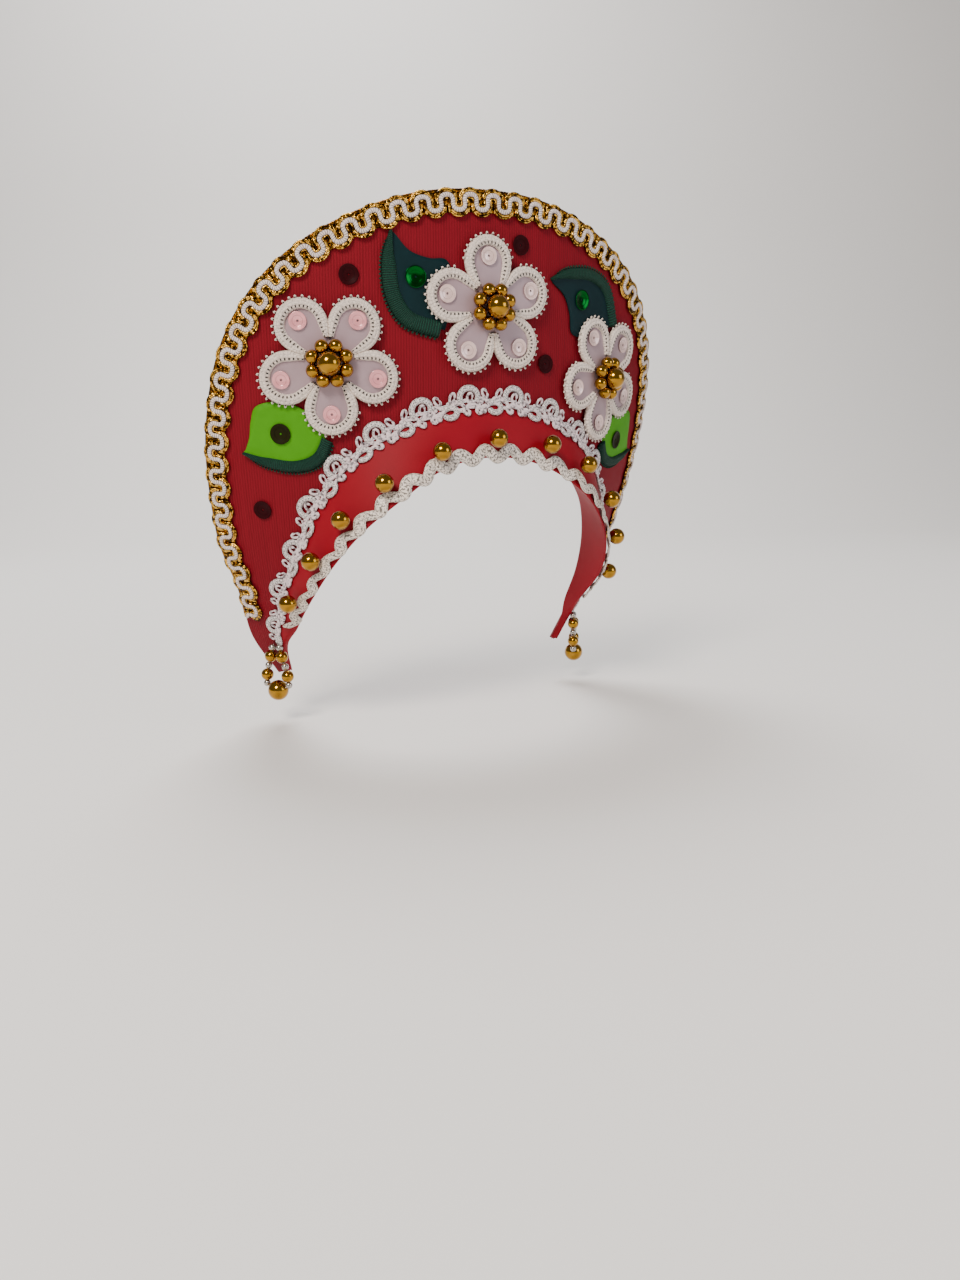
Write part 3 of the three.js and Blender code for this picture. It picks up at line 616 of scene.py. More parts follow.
# Lace trim
# White guipure lace with a silver thread over the seam between the shield and the band: a
# horseshoe scallop above, a scroll below, and loops and leaf shaped picots between them.
LACE_REPEAT = 23.5
LACE_END = 6.75
LACE_LIFT = 0.7
LACE_BELOW = 7.2
LACE_LEAST_ROOM = 0.3  # the lower half narrows to no less than this share
LACE_BEND_RUN = 3  # below the seam, over which the lace turns to lie on the flap
LACE_LEAN = 0.2  # share of the way from square to the seam to straight up the shield
NEAR_SEAM = 0.02
TAPE_WIDTH = 5.6
LACE_CORD = {"width": 1.3, "height": 1.2}
LACE_BAND = {"width": 3.0, "height": 1.4}
LACE_PAD = {"width": 1.9, "height": 1.4}
LACE_WHITE = "#f3e1e4"
LACE_SHADE = "#857c80"
LACE_SILVER_WHITE = "#ece4e2"
LACE_SILVER = "#443f41"
LACE_FLECK_SCALE = 650.0  # flecks about 1.5 mm across
LACE_STITCH_SCALE = 420.0  # a stitch in 0.75 mm
LACE_STITCH_DEPTH = 0.3
LUREX_GRAIN = (1300, 22, 1)  # threads about 0.8 mm long, drawn coarser than real so that they show
LUREX_DEPTH = 0.3


def on_seam(station, across, lift):
    """Points on the lace: its upper half lies on the shield and its lower half on the flap."""
    top, fold, rise, front, seat = band_section(station)
    lace = through_mirrored(LACE_STATIONS, station)
    edge = through_mirrored(EDGE_STATIONS, station)
    normal = shield_normal(lace[:, 0], lace[:, 1])
    foot = on_shield(lace[:, 0], lace[:, 1], 0)
    near = lace + NEAR_SEAM * (edge - lace)
    up = unit(on_shield(near[:, 0], near[:, 1], 0) - foot)
    behind = through_mirrored(LACE_STATIONS, station - STEP)
    ahead = through_mirrored(LACE_STATIONS, station + STEP) - behind
    along = unit(np.stack([ahead[:, 0], 0 * station, ahead[:, 1]], -1))
    level = along - normal * np.sum(along * normal, -1, keepdims=True)
    outward = unit(np.cross(normal, level))
    side = outward + LACE_LEAN * (up - outward)
    p = foot + side * np.maximum(across, 0)[:, None]
    above = on_shield(p[:, 0], p[:, 2], lift)
    free = np.linalg.norm(top - fold, axis=-1) - fold_lap(station) - TAPE_WIDTH
    room = np.clip(free / LACE_BELOW, LACE_LEAST_ROOM, 1)
    drop = np.maximum(-across, 0) * room
    bend = eased(drop / LACE_BEND_RUN)[:, None]
    faced = unit(normal + (front - normal) * bend)
    middle = (top + fold) / 2 + front * BAND_BULGE
    below = foot + unit(middle - top) * drop[:, None] + faced * np.expand_dims(lift, -1)
    upper = (across >= 0)[:, None]
    return np.where(upper, above, below), np.where(upper, shield_normal(p[:, 0], p[:, 2]), faced)


def oval(x, z, wide, high, tilt=0.0, steps=14, start=0.0, sweep=math.tau):
    """A run of points round an oval, in the lace's flat coordinates."""
    turn = start + np.linspace(0, sweep, steps)
    p, q = wide * np.cos(turn), high * np.sin(turn)
    c, s = math.cos(tilt), math.sin(tilt)
    return np.stack([x + p * c - q * s, z + p * s + q * c], -1)


def lace_figures():
    """The cords of one repeat: path, width and height, and lift of each."""
    cord, band, pad = LACE_CORD, LACE_BAND, LACE_PAD
    loop = {"wide": 1.15, "high": 2.2}
    figures = [
        (oval(11.7, 1.6, 4.5, 4.3, start=-0.6, sweep=math.pi + 1.2, steps=24), band, 0.5),
        (oval(12.0, 1.2, 1.3, 2.3, tilt=-0.25), cord, 0.7),
        (oval(3.6, 2.6, tilt=-0.45, **loop), cord, 0.6),
        (oval(19.8, 2.6, tilt=0.45, **loop), cord, 0.6),
        (oval(1.0, -4.3, 3.3, 2.6, start=2.4, sweep=-5.4, steps=24), band, 0.45),
        (oval(9.2, -5.2, 1.2, 1.7, tilt=0.5), pad, 0.55),
        (oval(15.7, -5.6, 1.2, 1.3), pad, 0.55),
        (oval(18.3, -5.0, 1.1, 1.4, tilt=-0.4), pad, 0.5),
    ]
    for start, end, picot in (
        ((7.4, -1.0), (9.0, -3.6), pad), ((16.0, -0.8), (16.6, -4.0), pad),
        ((5.0, 1.2), (7.0, -2.2), cord), ((18.4, 1.2), (17.6, -2.4), pad),
        ((10.4, -3.6), (14.8, -3.9), cord), ((4.6, 0.4), (2.4, -1.8), pad),
        ((19.6, -0.6), (21.8, -2.0), pad), ((12.6, -0.9), (10.6, -2.8), cord),
        ((6.4, -3.4), (7.8, -5.6), cord), ((19.0, -2.6), (20.8, -4.6), cord),
        ((2.0, 0.8), (-0.6, -1.0), cord),
    ):
        figures.append((np.linspace(start, end, 7), picot, 0.5))
    wave = np.linspace(0, LACE_REPEAT, 30)
    line = np.stack([wave, -0.2 + 0.8 * np.sin(wave * math.tau * 3 / LACE_REPEAT)], -1)
    figures.append((line, cord, 0.35))
    lower = np.stack([wave, -3.3 + 1.1 * np.sin(wave * math.tau * 2 / LACE_REPEAT + 1.2)], -1)
    figures.append((lower, pad, 0.4))
    return figures


# Cotton guipure, stitched solid over a ground that is washed away. It is white and flecked with
# small shadows between the stitches.
def lace_cotton():
    material, tree, shader = new_material("white cotton lace", LACE_WHITE, Roughness=0.8)
    shader.inputs["Sheen Weight"].default_value = 0.25
    solid = add(tree, "ShaderNodeTexCoord")
    fleck = add(
        tree, "ShaderNodeTexNoise",
        {"Vector": solid.outputs["Object"], "Scale": LACE_FLECK_SCALE, "Detail": 1.0},
    )
    ramp = add(
        tree, "ShaderNodeMapRange",
        {"Value": fleck.outputs["Fac"], "From Min": 0.52, "From Max": 0.64},
    )
    add(
        tree, "ShaderNodeMix",
        {"Factor": ramp.outputs["Result"], "A": linear(LACE_WHITE), "B": linear(LACE_SHADE)},
        {"Result": shader.inputs["Base Color"]}, data_type="RGBA",
    )
    place = add(tree, "ShaderNodeUVMap", uv_map="UVMap")
    stitch = add(
        tree, "ShaderNodeTexWave",
        {"Vector": place.outputs["UV"], "Scale": LACE_STITCH_SCALE, "Distortion": 1.5},
        wave_type="BANDS", bands_direction="X",
    )
    add(
        tree, "ShaderNodeBump",
        {"Height": stitch.outputs["Fac"], "Distance": LACE_STITCH_DEPTH * MM, "Strength": 0.8},
        {"Normal": shader.inputs["Normal"]},
    )
    return material


# Silver lurex woven with white cotton. Fine bright and dark threads give it a grain.
def silver_lurex(name, white, silver):
    material, tree, shader = new_material(name, white, Roughness=0.5, Metallic=0.15)
    place = add(tree, "ShaderNodeUVMap", uv_map="UVMap")
    stretch = add(tree, "ShaderNodeMapping", {"Vector": place.outputs["UV"], "Scale": LUREX_GRAIN})
    threads = add(
        tree, "ShaderNodeTexNoise",
        {"Vector": stretch.outputs["Vector"], "Scale": 1.0, "Detail": 2.0},
    )
    ramp = add(
        tree, "ShaderNodeMapRange",
        {"Value": threads.outputs["Fac"], "From Min": 0.48, "From Max": 0.58},
    )
    add(
        tree, "ShaderNodeMix",
        {"Factor": ramp.outputs["Result"], "A": linear(white), "B": linear(silver)},
        {"Result": shader.inputs["Base Color"]}, data_type="RGBA",
    )
    add(
        tree, "ShaderNodeBump",
        {"Height": threads.outputs["Fac"], "Distance": LUREX_DEPTH * MM, "Strength": 0.8},
        {"Normal": shader.inputs["Normal"]},
    )
    return material


lace_length, lace_station = even_stations(LACE_END, lambda s: on_seam(s, 0 * s, 0 * s)[0])
lace_repeats = round(lace_length / LACE_REPEAT)
lace_bm = bmesh.new()
lace_band_bm = bmesh.new()
lace_stretch = lace_length / (lace_repeats * LACE_REPEAT)
for repeat in range(lace_repeats):
    for figure, cord, lift in lace_figures():
        station = lace_station((figure[:, 0] + repeat * LACE_REPEAT) * lace_stretch)
        lace_path, lace_normals = on_seam(station, figure[:, 1], LACE_LIFT + lift + 0 * station)
        strands = lace_band_bm if cord is LACE_BAND else lace_bm
        add_strand(strands, lace_path, lace_normals, cord["width"], cord["height"])
close_strands(lace_bm)
close_strands(lace_band_bm)
show("lace_cords", lace_bm, lace_cotton(), "white_trim", "lace_trim")
LACE_LUREX = silver_lurex("silver thread in lace", LACE_SILVER_WHITE, LACE_SILVER)
show("lace_silver_bands", lace_band_bm, LACE_LUREX, "white_trim")

# Zigzag tape
# A wavy woven tape of white and silver lurex, sewn along the fold so that its lower waves hang
# over the edge.
TAPE = {"height": 1.3, "repeat": 13.6, "swing": 2.1, "end": 5.95, "lift": 0.6}
TAPE_FLATNESS = 0.6  # 1 is an oval section, less is flatter
TAPE_RIPPLE = 0.35
TAPE_STEPS = 16
TAPE_SIDES = 14
TAPE_WHITE = "#e8dccf"
TAPE_SILVER = "#655d56"

tape_length, tape_station = even_stations(TAPE["end"], lambda s: on_flap(s, fold_lap(s), 0 * s)[0])
tape_repeats = round(tape_length / TAPE["repeat"])


def tape_point(u, v):
    """Round the tape's flat section: v runs from its lower edge over the front and back behind."""
    phase = math.tau * tape_repeats * u
    station = tape_station(u * tape_length)
    slope = -TAPE["swing"] * math.tau / TAPE["repeat"] * np.sin(phase)
    turn = math.tau * v
    across = 0.5 * TAPE_WIDTH * np.sign(np.cos(turn)) * np.abs(np.cos(turn)) ** TAPE_FLATNESS
    above = 0.5 * TAPE["height"] * np.sin(turn)
    lean = np.hypot(1, slope)
    shifted = tape_station(u * tape_length - across * slope / lean)
    rise = fold_lap(shifted) + TAPE["swing"] * np.cos(phase) + across / lean
    ripple = TAPE_RIPPLE * np.sin(phase) ** 2
    lift = TAPE["lift"] + TAPE["height"] / 2 + ripple + above
    return on_flap(shifted, rise, lift)[0]


tape_cells = (tape_repeats * TAPE_STEPS, TAPE_SIDES)
tape_bm = laid_grid(tape_cells, tape_point, (tape_length * MM, 1))
close_strands(tape_bm)
LUREX_TAPE = silver_lurex("silver white lurex tape", TAPE_WHITE, TAPE_SILVER)
show("zigzag_tape", tape_bm, LUREX_TAPE, "silver_tape", "ric_rac")

# Brow beads
# Round gilt beads, sewn one by one along the band just above the tape. Each is a moulded
# plastic ball with a bright metal coating.
BROW_BEAD_RADIUS = 4.5
BROW_BEAD_LIFT = 6.6
GILT_COLOUR = "#a3760a"
GILT_WEAR_SCALE = 380.0  # patches about 2.6 mm across

# Station and distance above the tape's middle of each bead, from the left tip.
BROW_BEADS = [
    (-5.1, 5.4), (-4.07, 5.4), (-3.07, 6.5), (-2.1, 6), (-1.05, 5.5), (-0.06, 6.4),
    (0.94, 7), (1.8, 7), (2.86, 7), (3.98, 7), (5, 7),
]


def add_ball(bm, centre, radius, segments=40):
    """Adds a smooth ball."""
    place = Matrix.Translation([float(c) for c in centre])
    bmesh.ops.create_uvsphere(
        bm, u_segments=segments, v_segments=segments // 2, radius=radius, matrix=place,
    )


# Gilt: moulded plastic with a vacuum coating of gold coloured metal under lacquer, mirror bright.
def gilt():
    material, tree, shader = new_material(
        "vacuum gilt coating", GILT_COLOUR, Metallic=1.0, Roughness=0.13,
    )
    shader.inputs["Coat Weight"].default_value = 0.4
    shader.inputs["Coat Roughness"].default_value = 0.05
    solid = add(tree, "ShaderNodeTexCoord")
    wear = add(
        tree, "ShaderNodeTexNoise", {"Vector": solid.outputs["Object"], "Scale": GILT_WEAR_SCALE},
    )
    add(
        tree, "ShaderNodeMapRange", {"Value": wear.outputs["Fac"], "To Min": 0.1, "To Max": 0.2},
        {"Result": shader.inputs["Roughness"]},
    )
    return material


GILT = gilt()
bead_stations, bead_heights = np.array(BROW_BEADS).T
bead_centres = on_flap(
    bead_stations, fold_lap(bead_stations) + bead_heights, BROW_BEAD_LIFT + 0 * bead_stations,
)[0]
for number, centre in enumerate(bead_centres, 1):
    bead_bm = bmesh.new()
    add_ball(bead_bm, centre, BROW_BEAD_RADIUS)
    show(f"gilt_brow_bead_{number}", bead_bm, GILT, "gilt_bead", f"brow_bead_{number}")

# Flowers
# Three flowers of five round petals: pale satin under a woven white edging with picots along
# its outer side, a cluster of gilt beads in the middle and a pale cup sequin on each petal.
PETALS = 5
PETAL_REACH = 20.4
PETAL_EDGE_RADIUS = 9.6  # to the middle of the edging
PETAL_SWEEP = math.radians(108)
PETAL_LIFT = 1.9
PETAL_PUFF = 0.9  # how far the satin rises towards the middle
PETAL_WALL = 0.6
PETAL_KNOTS = 15
PETAL_SAMPLES = 400
PETAL_RINGS = 8
SEQUIN_REACH = 22.9
EDGING = {"width": 5.2, "height": 2.2, "dome": 3.2, "sunk": 0.2}
EDGING_END = {"share": 0.52, "slope": 4.2}  # how the edging narrows where two petals meet
EDGING_RIDGES = {"rows": 3, "height": 0.5, "stitch": 0.17}
EDGING_CELLS = (200, 24)
FRONT_SHARE = 0.8  # share of the cells across a trim that lie on its front
PETAL_FOOT = [(9.9, 5.9), (14.2, 8.0)]  # where the edging runs in between two petals
STITCH = 2.0
PICOT = {
    "spacing": 2.2, "length": 1.1, "width": 1.25, "height": 1.0, "root": -0.6, "lift": 0.8,
    "steps": 5,
}
PICOT_PART = (0.2, 0.8)  # share of the edging's length that has picots
CLUSTER = {"ring": 8, "radius": 8.0, "small": 3.25, "large": 5.4, "rise": 3.2, "lift": 1}
SEQUIN_RADIUS = 4
SEQUIN_WALL = 0.2
SEQUIN_LIFT = 1.2
SEQUIN_RING_PAINTED_SHADE = [(0.54, 1.0), (0.6, 0.62), (0.66, 1.0)]  # reach and brightness of the painted shade along the pressed ring
# painted shadow darkening the film round the sewing hole
SEQUIN_HOLE_PAINTED_SHADOW = {"dark": (0.05, 0.03, 0.03, 1), "inner": 0.1, "outer": 0.17}

# Reach and height of the cup's section, as shares of its radius.
SEQUIN_PROFILE = [
    (0.1, 0.0), (0.14, 0.0), (0.54, 0.01), (0.58, 0.03), (0.62, 0.05), (0.9, 0.1), (1.0, 0.14),
]
PETAL_SATIN_COLOUR = "#a48d93"
PETAL_SATIN_SHADE = "#947c83"
EDGING_WHITE = "#f3e3d6"
# near black for painted shade on the edging: dots, flecks and grooves between the ridges
EDGING_PAINTED_SHADE = "#2e2725"
EDGING_FLECK_SCALE = 1000.0  # flecks of painted shade about 1 mm across
EDGING_WEAVE_SCALE = 230.0  # a ridge in 1.4 mm
EDGING_WEAVE_DEPTH = 0.35
PETAL_MOTTLE_SCALE = 130.0  # patches about 8 mm across
PINK_SEQUIN_COLOUR = "#e89ba0"
CLEAR_SEQUIN_COLOUR = "#e3c3bd"
FLOWERS = {
    "left": {"x": -75.4, "z": 48.2, "turn": 125.5, "sequin": PINK_SEQUIN_COLOUR},
    "centre": {"x": -1.2, "z": 73.4, "turn": 94.4, "sequin": CLEAR_SEQUIN_COLOUR},
    "right": {"x": 73, "z": 44, "turn": 122.5, "sequin": CLEAR_SEQUIN_COLOUR},
}


def patch(x, z):
    """Lays flat coordinates round a point of the shield: p to the right, q up, lift forward."""
    normal = shield_normal(np.array(float(x)), np.array(float(z)))
    right = unit(np.array([-normal[1], normal[0], 0]))
    up = np.cross(normal, right)

    def lay(p, q, lift):
        return on_shield(x + p * right[0] + q * up[0], z + q * up[2], lift)
    return lay


def turned(points, angle):
    c, s = math.cos(angle), math.sin(angle)
    return points @ np.array([[c, s], [-s, c]])


def petal_line(steps):
    """Middle line of one petal's edging, its outward directions and its length."""
    sweep = np.linspace(-PETAL_SWEEP, PETAL_SWEEP, PETAL_KNOTS)
    out = PETAL_REACH + PETAL_EDGE_RADIUS * np.cos(sweep)
    arc = np.stack([out, PETAL_EDGE_RADIUS * np.sin(sweep)], -1)
    foot = np.array(PETAL_FOOT)
    knots = np.concatenate([foot * (1, -1), arc, foot[::-1]])
    line = through(knots, np.linspace(0, len(knots) - 1, PETAL_SAMPLES))
    run = np.concatenate([[0], np.cumsum(np.linalg.norm(np.diff(line, axis=0), axis=1))])
    even = np.linspace(0, run[-1], steps)
    line = np.stack([np.interp(even, run, line[:, k]) for k in range(2)], -1)
    along = unit(np.gradient(line, axis=0))
    return line, np.stack([along[:, 1], -along[:, 0]], -1), run[-1]


# Woven cotton edging of three chain ridges. Painted shade darkens it: a row of dots for the
# gaps between the stitches, soft flecks, and the grooves between the ridges.
def woven_edging():
    material, tree, shader = new_material("woven white cotton edging", EDGING_WHITE, Roughness=0.85)
    shader.inputs["Sheen Weight"].default_value = 0.2
    place = add(tree, "ShaderNodeUVMap", uv_map="UVMap")
    parts = add(tree, "ShaderNodeSeparateXYZ", {"Vector": place.outputs["UV"]})
    beat = add(
        tree, "ShaderNodeMath", {0: parts.outputs["X"], 1: math.tau / (STITCH * MM)},
        operation="MULTIPLY",
    )
    pulse = add(tree, "ShaderNodeMath", {0: beat.outputs["Value"]}, operation="SINE")
    off = add(tree, "ShaderNodeMath", {0: parts.outputs["Y"], 1: 0.27}, operation="SUBTRACT")
    away = add(tree, "ShaderNodeMath", {0: off.outputs["Value"]}, operation="ABSOLUTE")
    row = add(
        tree, "ShaderNodeMapRange",
        {
            "Value": away.outputs["Value"], "From Min": 0.07, "From Max": 0.13,
            "To Min": 2.2, "To Max": 0.0,
        },
    )
    # painted shade: a row of dark dots for the gaps between the stitches
    dots = add(
        tree, "ShaderNodeMath", {0: pulse.outputs["Value"], 1: row.outputs["Result"]},
        operation="MULTIPLY", use_clamp=True,
    )
    solid = add(tree, "ShaderNodeTexCoord")
    fleck = add(
        tree, "ShaderNodeTexNoise",
        {"Vector": solid.outputs["Object"], "Scale": EDGING_FLECK_SCALE, "Detail": 1.0},
    )
    soft = add(
        tree, "ShaderNodeMapRange",
        {"Value": fleck.outputs["Fac"], "From Min": 0.5, "From Max": 0.75, "To Max": 0.4},
    )
    chains = add(
        tree, "ShaderNodeMath", {0: parts.outputs["Y"], 1: EDGING_RIDGES["rows"] * math.pi},
        operation="MULTIPLY",
    )
    swell = add(tree, "ShaderNodeMath", {0: chains.outputs["Value"]}, operation="SINE")
    crest = add(tree, "ShaderNodeMath", {0: swell.outputs["Value"]}, operation="ABSOLUTE")
    # painted shade in the grooves between the ridges
    groove = add(
        tree, "ShaderNodeMapRange",
        {
            "Value": crest.outputs["Value"], "From Min": 0.05, "From Max": 0.55,
            "To Min": 0.22, "To Max": 0.0,
        },
    )
    spots = add(
        tree, "ShaderNodeMath", {0: dots.outputs["Value"], 1: soft.outputs["Result"]},
        operation="MAXIMUM",
    )
    dark = add(
        tree, "ShaderNodeMath", {0: spots.outputs["Value"], 1: groove.outputs["Result"]},
        operation="MAXIMUM",
    )
    add(
        tree, "ShaderNodeMix",
        {"Factor": dark.outputs["Value"], "A": linear(EDGING_WHITE), "B": linear(EDGING_PAINTED_SHADE)},
        {"Result": shader.inputs["Base Color"]}, data_type="RGBA",
    )
    weave = add(
        tree, "ShaderNodeTexWave",
        {"Vector": place.outputs["UV"], "Scale": EDGING_WEAVE_SCALE, "Distortion": 1.2},
        wave_type="BANDS", bands_direction="X",
    )
    add(
        tree, "ShaderNodeBump",
        {"Height": weave.outputs["Fac"], "Distance": EDGING_WEAVE_DEPTH * MM, "Strength": 0.9},
        {"Normal": shader.inputs["Normal"]},
    )
    return material


# Polyester satin, cut and tucked under the edging. It is pale mauve with a soft even gloss.
def petal_satin():
    material, tree, shader = new_material("pale mauve satin", PETAL_SATIN_COLOUR, Roughness=0.42)
    shader.inputs["Sheen Weight"].default_value = 0.2
    solid = add(tree, "ShaderNodeTexCoord")
    broad = add(
        tree, "ShaderNodeTexNoise",
        {"Vector": solid.outputs["Object"], "Scale": PETAL_MOTTLE_SCALE},
    )
    add(
        tree, "ShaderNodeMix",
        {
            "Factor": broad.outputs["Fac"],
            "A": linear(PETAL_SATIN_COLOUR), "B": linear(PETAL_SATIN_SHADE),
        },
        {"Result": shader.inputs["Base Color"]}, data_type="RGBA",
    )
    return material


# Sequin film: tinted plastic, stamped into a shallow cup. A ring is pressed in it, with painted
# shade along it, and a painted shadow darkens the film round its sewing hole.
def sequin_film(name, colour, metallic, roughness, coat, gleam=0.3):
    material, tree, shader = new_material(name, colour, Metallic=metallic, Roughness=roughness)
    shader.inputs["Specular IOR Level"].default_value = gleam
    shader.inputs["Coat Weight"].default_value = coat
    shader.inputs["Coat Roughness"].default_value = 0.06
    place = add(tree, "ShaderNodeUVMap", uv_map="UVMap")
    parts = add(tree, "ShaderNodeSeparateXYZ", {"Vector": place.outputs["UV"]})
    # painted shadow round the sewing hole and painted shade along the pressed ring
    dark = add(tree, "ShaderNodeValToRGB", {"Fac": parts.outputs["X"]})
    stops = dark.color_ramp.elements
    stops[0].color, stops[1].color = SEQUIN_HOLE_PAINTED_SHADOW["dark"], (1, 1, 1, 1)
    stops[0].position, stops[1].position = SEQUIN_HOLE_PAINTED_SHADOW["inner"], SEQUIN_HOLE_PAINTED_SHADOW["outer"]
    for reach, shade in SEQUIN_RING_PAINTED_SHADE:
        stops.new(reach).color = (shade, shade, shade, 1)
    add(
        tree, "ShaderNodeMix", {"Factor": 1.0, "A": linear(colour), "B": dark.outputs["Color"]},
        {"Result": shader.inputs["Base Color"]}, data_type="RGBA", blend_type="MULTIPLY",
    )
    return material


def add_sequin(name, lay, p, q, lift, radius, finish, slot, node):
    """A cup sequin: a ring with a sewing hole, a flat floor and a sloping rim."""
    bm = bmesh.new()
    rim = [bm.verts.new((radius * r, 0, radius * h)) for r, h in SEQUIN_PROFILE]
    edges = [bm.edges.new(pair) for pair in zip(rim, rim[1:])]
    bmesh.ops.spin(
        bm, geom=rim + edges, axis=(0, 0, 1), cent=(0, 0, 0), angle=math.tau, steps=36,
        use_merge=True,
    )
    bmesh.ops.recalc_face_normals(bm, faces=bm.faces)
    face_towards(bm, (0, 0, 1))
    uv = bm.loops.layers.uv.new("UVMap")
    for face in bm.faces:
        for loop in face.loops:
            loop[uv].uv = (loop.vert.co.xy.length / radius, 0)
    foot = lay(np.array(p), np.array(q), np.array(float(lift)))
    normal = unit(lay(np.array(p), np.array(q), np.array(lift + 1.0)) - foot)
    right = unit(np.cross([0, 0, 1], normal))
    axes = np.stack([right, np.cross(normal, right), normal], 1)
    turn = Matrix([list(row) for row in axes]).to_4x4()
    place = Matrix.Translation([float(c) for c in foot]) @ turn
    bmesh.ops.transform(bm, matrix=place, verts=bm.verts)
    thicken(show(name, bm, finish, slot, node), SEQUIN_WALL)


def flower_edging(lay, turn):
    """The woven edging of all petals and its picots."""
    bm = bmesh.new()
    uv = bm.loops.layers.uv.new("UVMap")
    line, outward, length = petal_line(EDGING_CELLS[0] + 1)
    rows = EDGING_RIDGES["rows"]
    picots = int(length / PICOT["spacing"])
    reach = np.linspace(PICOT["root"], PICOT["length"], PICOT["steps"]) + EDGING["width"] / 2
    picot_lift = PETAL_LIFT + PICOT["lift"] + 0 * reach
    for petal in range(PETALS):
        angle = turn + math.tau * petal / PETALS
        made = bmesh.ops.create_grid(
            bm, x_segments=EDGING_CELLS[0], y_segments=EDGING_CELLS[1], size=0.5,
        )["verts"]
        flat = np.array([v.co[:2] for v in made]) + 0.5
        step = np.rint(flat[:, 0] * EDGING_CELLS[0]).astype(int)
        face = np.clip(flat[:, 1] / FRONT_SHARE, 0, 1)
        under = np.clip((flat[:, 1] - FRONT_SHARE) / (1 - FRONT_SHARE), 0, 1)
        from_end = np.minimum(flat[:, 0], 1 - flat[:, 0])
        taper = np.clip(EDGING_END["share"] + EDGING_END["slope"] * from_end, 0, 1)
        across = EDGING["width"] * taper * (face - 0.5 - under)
        dome = EDGING["height"] * (1 - np.abs(2 * face - 1) ** EDGING["dome"])
        row = np.rint(rows * face - 0.5)
        stitch = math.tau * (flat[:, 0] * length / STITCH + 0.5 * row)
        height = EDGING_RIDGES["height"] + EDGING_RIDGES["stitch"] * np.sin(stitch)
        relief = dome * (under == 0) + np.abs(np.sin(rows * math.pi * face)) * height * (under == 0)
        points = turned(line[step] + outward[step] * across[:, None], angle)
        laid = lay(points[:, 0], points[:, 1], PETAL_LIFT - EDGING["sunk"] + relief)
        texture = {v: (t * length * MM, f) for v, t, f in zip(made, flat[:, 0], face)}
        for grid_face in {f for v in made for f in v.link_faces}:
            for loop in grid_face.loops:
                loop[uv].uv = texture[loop.vert]
        for vert, point in zip(made, laid):
            vert.co = point
        for picot in range(picots):
            place = (picot + 0.5) / picots * EDGING_CELLS[0]
            if not PICOT_PART[0] < place / EDGING_CELLS[0] < PICOT_PART[1]:
                continue
            k = int(round(place))
            root = turned(line[k] + outward[k] * reach[:, None], angle)
            path = lay(root[:, 0], root[:, 1], picot_lift)
            lifted = lay(root[:, 0], root[:, 1], picot_lift + 1)
            add_strand(bm, path, unit(lifted - path), PICOT["width"], PICOT["height"], sides=5)
    close_strands(bm)
    return bm


def petal_fill(lay, turn):
    """The satin inside the edging, slightly raised towards the flower's middle."""
    line = petal_line(EDGING_CELLS[0] + 1)[0]
    rim = np.concatenate([turned(line, turn + math.tau * k / PETALS) for k in range(PETALS)])
    cells = len(rim)

    def place(u, v):
        corner = rim[np.rint(u * cells).astype(int) % cells] * v[:, None]
        return lay(corner[:, 0], corner[:, 1], PETAL_LIFT + PETAL_PUFF * (1 - v ** 6))
    bm = laid_grid((cells, PETAL_RINGS), place)
    bmesh.ops.remove_doubles(bm, verts=bm.verts, dist=1e-4)
    middle = np.array(0.0)
    face_towards(bm, lay(middle, middle, np.array(1.0)) - lay(middle, middle, middle))
    return bm


def bead_cluster(lay):
    """A large gilt bead in a ring of small ones."""
    bm = bmesh.new()
    base = PETAL_LIFT + CLUSTER["lift"] + CLUSTER["small"]
    middle = np.array(0.0)
    add_ball(bm, lay(middle, middle, np.array(base + CLUSTER["rise"])), CLUSTER["large"])
    for k in range(CLUSTER["ring"]):
        angle = math.tau * (k + 0.5) / CLUSTER["ring"]
        p = np.array(CLUSTER["radius"] * math.cos(angle))
        q = np.array(CLUSTER["radius"] * math.sin(angle))
        add_ball(bm, lay(p, q, np.array(base)), CLUSTER["small"], segments=28)
    return bm


WOVEN_EDGING = woven_edging()
PETAL_SATIN = petal_satin()
for name, flower in FLOWERS.items():
    flower_lay = patch(flower["x"], flower["z"])
    flower_turn = math.radians(flower["turn"])
    node = f"flower_{name}"
    edging_bm = flower_edging(flower_lay, flower_turn)
    show(f"{node}_woven_edging", edging_bm, WOVEN_EDGING, "white_trim", f"{node}_edging")
    fill_bm = petal_fill(flower_lay, flower_turn)
    satin = show(f"{node}_satin", fill_bm, PETAL_SATIN, "petal_satin", f"{node}_petals")
    thicken(satin, PETAL_WALL)
    cluster_bm = bead_cluster(flower_lay)
    show(f"{node}_gilt_beads", cluster_bm, GILT, "gilt_bead", f"{node}_bead_cluster")
    film = sequin_film(
        f"clear sequin film, {name} flower", flower["sequin"],
        metallic=0.2, roughness=0.25, coat=0.8,
    )
    for k in range(PETALS):
        axis = flower_turn + math.tau * k / PETALS
        add_sequin(
            f"{node}_cup_sequin_{k + 1}", flower_lay,
            SEQUIN_REACH * math.cos(axis), SEQUIN_REACH * math.sin(axis), PETAL_LIFT + SEQUIN_LIFT,
            SEQUIN_RADIUS, film, "pink_sequin", f"{node}_sequin_{k + 1}",
        )

